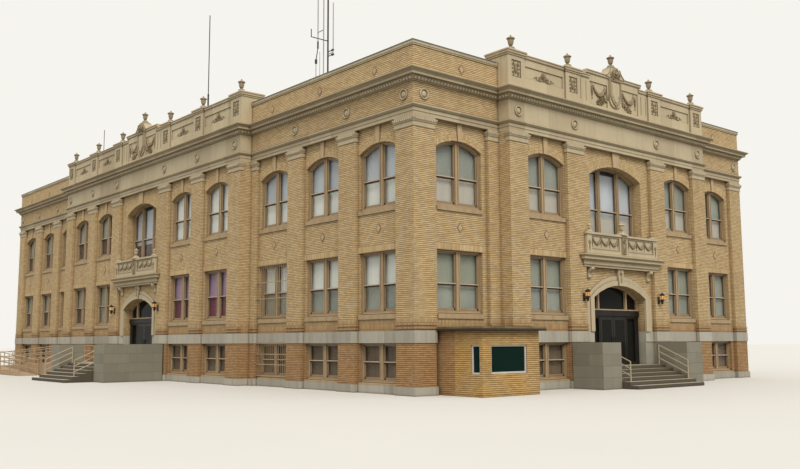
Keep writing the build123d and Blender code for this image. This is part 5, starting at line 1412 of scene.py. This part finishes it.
class TOWNHALL_OT_carve_balconies(bpy.types.Operator):
    """Carve the festoons and consoles of the balconies and the keystones below them."""

    bl_idname = "townhall.carve_balconies"
    bl_label = "Carve balconies"

    def execute(self, context):
        relief = Relief()
        for front in PAVILIONS:
            for s in SIDES:
                self.parapet(relief, front, s)
            self.console(relief, front)
        # The festoons take the darker carving: painted shade for their deep relief, with stains.
        relief.make("balcony_carving", "stained_carving", "trim_stone", smooth=True)
        return {"FINISHED"}

    def parapet(self, relief, front, s):
        """Three festoons between rosettes with tails, on one side of the console."""
        out, pitch = BALCONY_OUT - 0.03, 0.58
        for k in range(3):
            a = 0.42 + pitch * k
            relief.swag(front, s * a, s * (a + 0.52), 6.12, 0.22, 0.056, out)
        for k in range(4):
            a = 0.39 + pitch * k
            relief.rosette(front, s * a, 6.12, out, 0.085)
            relief.drop(front, s * a, 6.04, 0.22, 0.036, out)
        for z in (5.66, 6.24):
            relief.bar(front, s * 0.32, s * 2.18, z, z + 0.02, out, out + 0.035)
        relief.rosette(front, s * 2.35, 5.95, BALCONY_OUT, 0.10)
        relief.drop(front, s * 2.35, 5.84, 0.22, 0.032, BALCONY_OUT)

    def console(self, relief, front):
        """Scrolled block in the middle of the balcony, and the keystone's scroll and leaf below it."""
        out = BALCONY_OUT + 0.04
        relief.bar(front, -0.17, 0.17, 5.56, 6.28, BALCONY_OUT - 0.01, out, 0.03)
        relief.scroll(front, 0.0, 6.15, out, 0.13, 1.4, math.pi / 2, 1, 0.03)
        relief.scroll(front, 0.0, 5.66, out, 0.08, 1.3, -math.pi / 2, -1, 0.022)
        for s in SIDES:
            edge = [(s * 0.13, out + 0.005, 6.05), (s * 0.10, out + 0.01, 5.86), (s * 0.08, out + 0.005, 5.68)]
            relief.rope(front, edge, 0.02)
        relief.leaf(front, 0, 5.98, out, -math.pi / 2, 0.28, 0.13, 0.05)
        relief.scroll(front, 0.0, 4.74, STONE_KEY_OUT, 0.10, 1.3, math.pi / 2, 1, 0.026)
        relief.leaf(front, 0, 4.66, STONE_KEY_OUT, -math.pi / 2, 0.32, 0.16, 0.05)


class TOWNHALL_OT_glaze_doors(bpy.types.Operator):
    """Set dark glass and its beads in both faces of each door leaf."""

    bl_idname = "townhall.glaze_doors"
    bl_label = "Glaze doors"

    def execute(self, context):
        near, far, low, top = DOOR_GLASS
        for front, side in ((FRONT, "front"), (RIGHT, "right")):
            for s, hand in ((-1, "left"), (1, "right")):
                self.leaf(front, *sorted((s * near, s * far)), low, top, f"{side}_door_{hand}")
        return {"FINISHED"}

    def leaf(self, front, a, b, low, top, body):
        """A pane in the outer face and one in the inner face, each with its beads."""
        panes, beads, lip = Relief(), Relief(), 0.005
        for back, face, bead in ((0.030, 0.038, (0.038, 0.038 + lip)), (0.006, 0.014, (0.006 - lip, 0.006))):
            panes.bar(front, a + 0.004, b - 0.004, low + 0.002, top - 0.002, back, face)
            for u0, u1, z0, z1 in (
                (a + 0.001, a + 0.03, low, top), (b - 0.03, b - 0.001, low, top),
                (a + 0.03, b - 0.03, low, low + 0.027), (a + 0.03, b - 0.03, top - 0.027, top),
            ):
                beads.bar(front, u0, u1, z0, z1, *bead)
        panes.make(f"{body}_panes", "door_glass", "glass", body)
        beads.make(f"{body}_beads", "bronze", "door_metal", body)


class TOWNHALL_OT_glaze_annex(bpy.types.Operator):
    """Set white frames with dark panes in the two windows of the annex."""

    bl_idname = "townhall.glaze_annex"
    bl_label = "Glaze annex"

    def execute(self, context):
        frames, panes, edge = Relief(), Relief(), 0.06
        for block, a, b, low, top in (
            (self.front_block, -9.74, -7.92, 0.78, 1.77), (self.side_block, 1.54, 1.97, 0.77, 1.77),
        ):
            for corners in (
                (a, b, low, low + edge), (a, b, top - edge, top),
                (a, a + edge, low + edge, top - edge), (b - edge, b, low + edge, top - edge),
            ):
                block(frames, *corners, 0.0, edge)
            lap = edge - 0.01
            block(panes, a + lap, b - lap, low + lap, top - lap, 0.032, 0.042)
        piece = frames.make("annex_window_frames", "white_frame", "white_frame")
        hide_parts("annex_windows")
        panes.make("annex_panes", "annex_glass", "glass")
        return {"FINISHED"}

    def front_block(self, relief, u0, u1, z0, z1, near, far):
        """Box in the wide window of the annex's front, its depths measured back from the face."""
        relief.bar(RIGHT, u0, u1, z0, z1, ANNEX_FRONT - far, ANNEX_FRONT - near)

    def side_block(self, relief, out0, out1, z0, z1, near, far):
        """Box in the narrow window of the annex's side."""
        ring = [(out0, z0), (out1, z0), (out1, z1), (out0, z1)]
        relief.skin(RIGHT, [[(ANNEX_SIDE + depth, out, z) for out, z in ring] for depth in (near, far)])


class TOWNHALL_OT_glaze_lanterns(bpy.types.Operator):
    """Set amber glass in the lanterns beside the doorways."""

    bl_idname = "townhall.glaze_lanterns"
    bl_label = "Glaze lanterns"

    def execute(self, context):
        panes = Relief()
        for front, u in ((FRONT, 2.75), (RIGHT, 2.655)):
            for s in SIDES:
                self.panes(panes, front, s * u, LANTERN_OUT, LANTERN_HEIGHT)
        panes.make("lantern_panes", "amber", "lantern_metal")
        return {"FINISHED"}

    def panes(self, relief, front, u, out, z):
        """One thin pane on each of the lantern's eight sides."""
        flat = math.cos(math.pi / 8)
        for k in range(8):
            c, s = math.cos(math.pi / 4 * k), math.sin(math.pi / 4 * k)
            rings = []
            for height, radius, half in ((-0.080, 0.1008, 0.022), (0.080, 0.1042, 0.024)):
                inner, outer = radius * flat - 0.006, radius * flat + 0.004
                corners = ((inner, -half), (outer, -half), (outer, half), (inner, half))
                rings.append([(u + r * c - v * s, out + r * s + v * c, z + height) for r, v in corners])
            relief.skin(front, rings)


class TOWNHALL_OT_fold_coping_edges(bpy.types.Operator):
    """Fold the metal edge along the top of the wing copings."""

    bl_idname = "townhall.fold_coping_edges"
    bl_label = "Fold coping edges"

    def execute(self, context):
        relief, edges, gap = Relief(), plan_edges(0.05), 0.05
        for index, start, cut in (
            (0, 0.0, gap), (4, gap, 0.0), (5, 0.0, gap), (9, gap, 0.0), (10, 0.0, 0.0), (11, 0.0, 0.0),
        ):
            front, length = edges[index]
            relief.bar(front, start, length - cut, COPING_LOW, COPING_TOP, -0.004, 0.008)
            relief.bar(front, start, length - cut, COPING_TOP - 0.012, COPING_TOP, -0.09, 0.0)
        relief.make("coping_metal_edge", "patina", "roof_edge")
        return {"FINISHED"}


class TOWNHALL_OT_raise_masts(bpy.types.Operator):
    """Raise the thin poles and aerials over the parapet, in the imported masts' places."""

    bl_idname = "townhall.raise_masts"
    bl_label = "Raise masts"

    def execute(self, context):
        dark, pale = Relief(), Relief()
        x, middle, left = (HALF_LENGTH - distance for distance in MASTS_FROM_CORNER)
        out, behind = -3.0, -0.92
        for relief, u, back, low, high, radius in (
            (dark, middle, behind, ROOF_LINE, 14.72, 0.045),
            (dark, middle, behind, 14.70, 18.97, 0.025),
            (dark, left, behind, ROOF_LINE, 15.42, 0.02),
            (dark, x, out, ROOF_LINE, 21.32, 0.04),
            (pale, x - 0.35, out, ROOF_LINE, 20.6, 0.028),
            (pale, x - 0.66, out, ROOF_LINE, 15.6, 0.015),
            (pale, x - 0.82, out, 16.1, 20.0, 0.028),
            (dark, x - 0.82, out, 15.8, 16.15, 0.04),
            (pale, x - 0.97, out, ROOF_LINE, 15.15, 0.02),
            (dark, x - 0.97, out, 15.1, 15.3, 0.06),
            (pale, x + 0.42, out, 15.2, 17.7, 0.025),
        ):
            relief.rope(FRONT, [(u, back, low), (u, back, high)], radius, 8)
        for relief, start, end, radius in (
            (pale, (x - 0.35, out, 14.1), (x, out, 14.1), 0.022),
            (pale, (x - 0.83, out, 16.6), (x - 0.35, out, 16.6), 0.022),
            (dark, (x - 0.82, out, 15.82), (x - 0.97, out, 15.28), 0.022),
            (pale, (x, out, 15.3), (x + 0.42, out, 15.3), 0.022),
            (dark, (x, out, 15.95), (x, out + 0.96, 15.95), 0.022),
            (dark, (x, out + 0.95, 15.94), (x, out + 0.95, 16.32), 0.022),
            (dark, (x, out, 15.2), (x + 0.34, out, 15.2), 0.022),
            (dark, (x, out, 15.42), (x + 0.34, out, 15.42), 0.022),
            (dark, (x + 0.32, out, 15.2), (x + 0.44, out, 15.2), 0.055),
            (dark, (x + 0.32, out, 15.42), (x + 0.44, out, 15.42), 0.055),
        ):
            relief.rope(FRONT, [start, end], radius, 8)
        piece = dark.make("mast_poles", "mast", "mast_metal")
        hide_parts("roof_masts")
        pale.make("pale_aerials", "pale_mast", "mast_metal")
        return {"FINISHED"}


STEPS = (
    TOWNHALL_OT_build_stage, TOWNHALL_OT_finish_packed_parts, TOWNHALL_OT_lay_brick_heads,
    TOWNHALL_OT_frame_windows, TOWNHALL_OT_fit_sashes, TOWNHALL_OT_hang_blinds,
    TOWNHALL_OT_fit_window_screens, TOWNHALL_OT_carve_egg_bands, TOWNHALL_OT_carve_roundels,
    TOWNHALL_OT_lay_lozenges, TOWNHALL_OT_carve_cartouches, TOWNHALL_OT_carve_crests,
    TOWNHALL_OT_carve_balconies, TOWNHALL_OT_glaze_doors, TOWNHALL_OT_glaze_annex,
    TOWNHALL_OT_glaze_lanterns, TOWNHALL_OT_fold_coping_edges, TOWNHALL_OT_raise_masts,
)


class TOWNHALL_PT_pieces(bpy.types.Panel):
    """Lists the steps and their settings."""

    bl_label = "Town hall"
    bl_idname = "TOWNHALL_PT_pieces"
    bl_space_type = "VIEW_3D"
    bl_region_type = "UI"
    bl_category = "Town hall"

    def draw(self, context):
        for step in STEPS:
            self.layout.operator(step.bl_idname)
        for name in SETTINGS:
            group = getattr(context.scene, name)
            box = self.layout.box()
            for key in group.__annotations__:
                box.prop(group, key)


def register():
    for group in SETTINGS.values():
        bpy.utils.register_class(group)
    for name, group in SETTINGS.items():
        setattr(bpy.types.Scene, name, PointerProperty(type=group))
    for item in STEPS + (TOWNHALL_PT_pieces,):
        bpy.utils.register_class(item)


def unregister():
    for item in reversed(STEPS + (TOWNHALL_PT_pieces,)):
        bpy.utils.unregister_class(item)
    for name in SETTINGS:
        delattr(bpy.types.Scene, name)
    for group in reversed(list(SETTINGS.values())):
        bpy.utils.unregister_class(group)


def main():
    register()
    for step in STEPS:
        area, name = step.bl_idname.split(".")
        getattr(getattr(bpy.ops, area), name)()


if __name__ == "__main__":
    main()
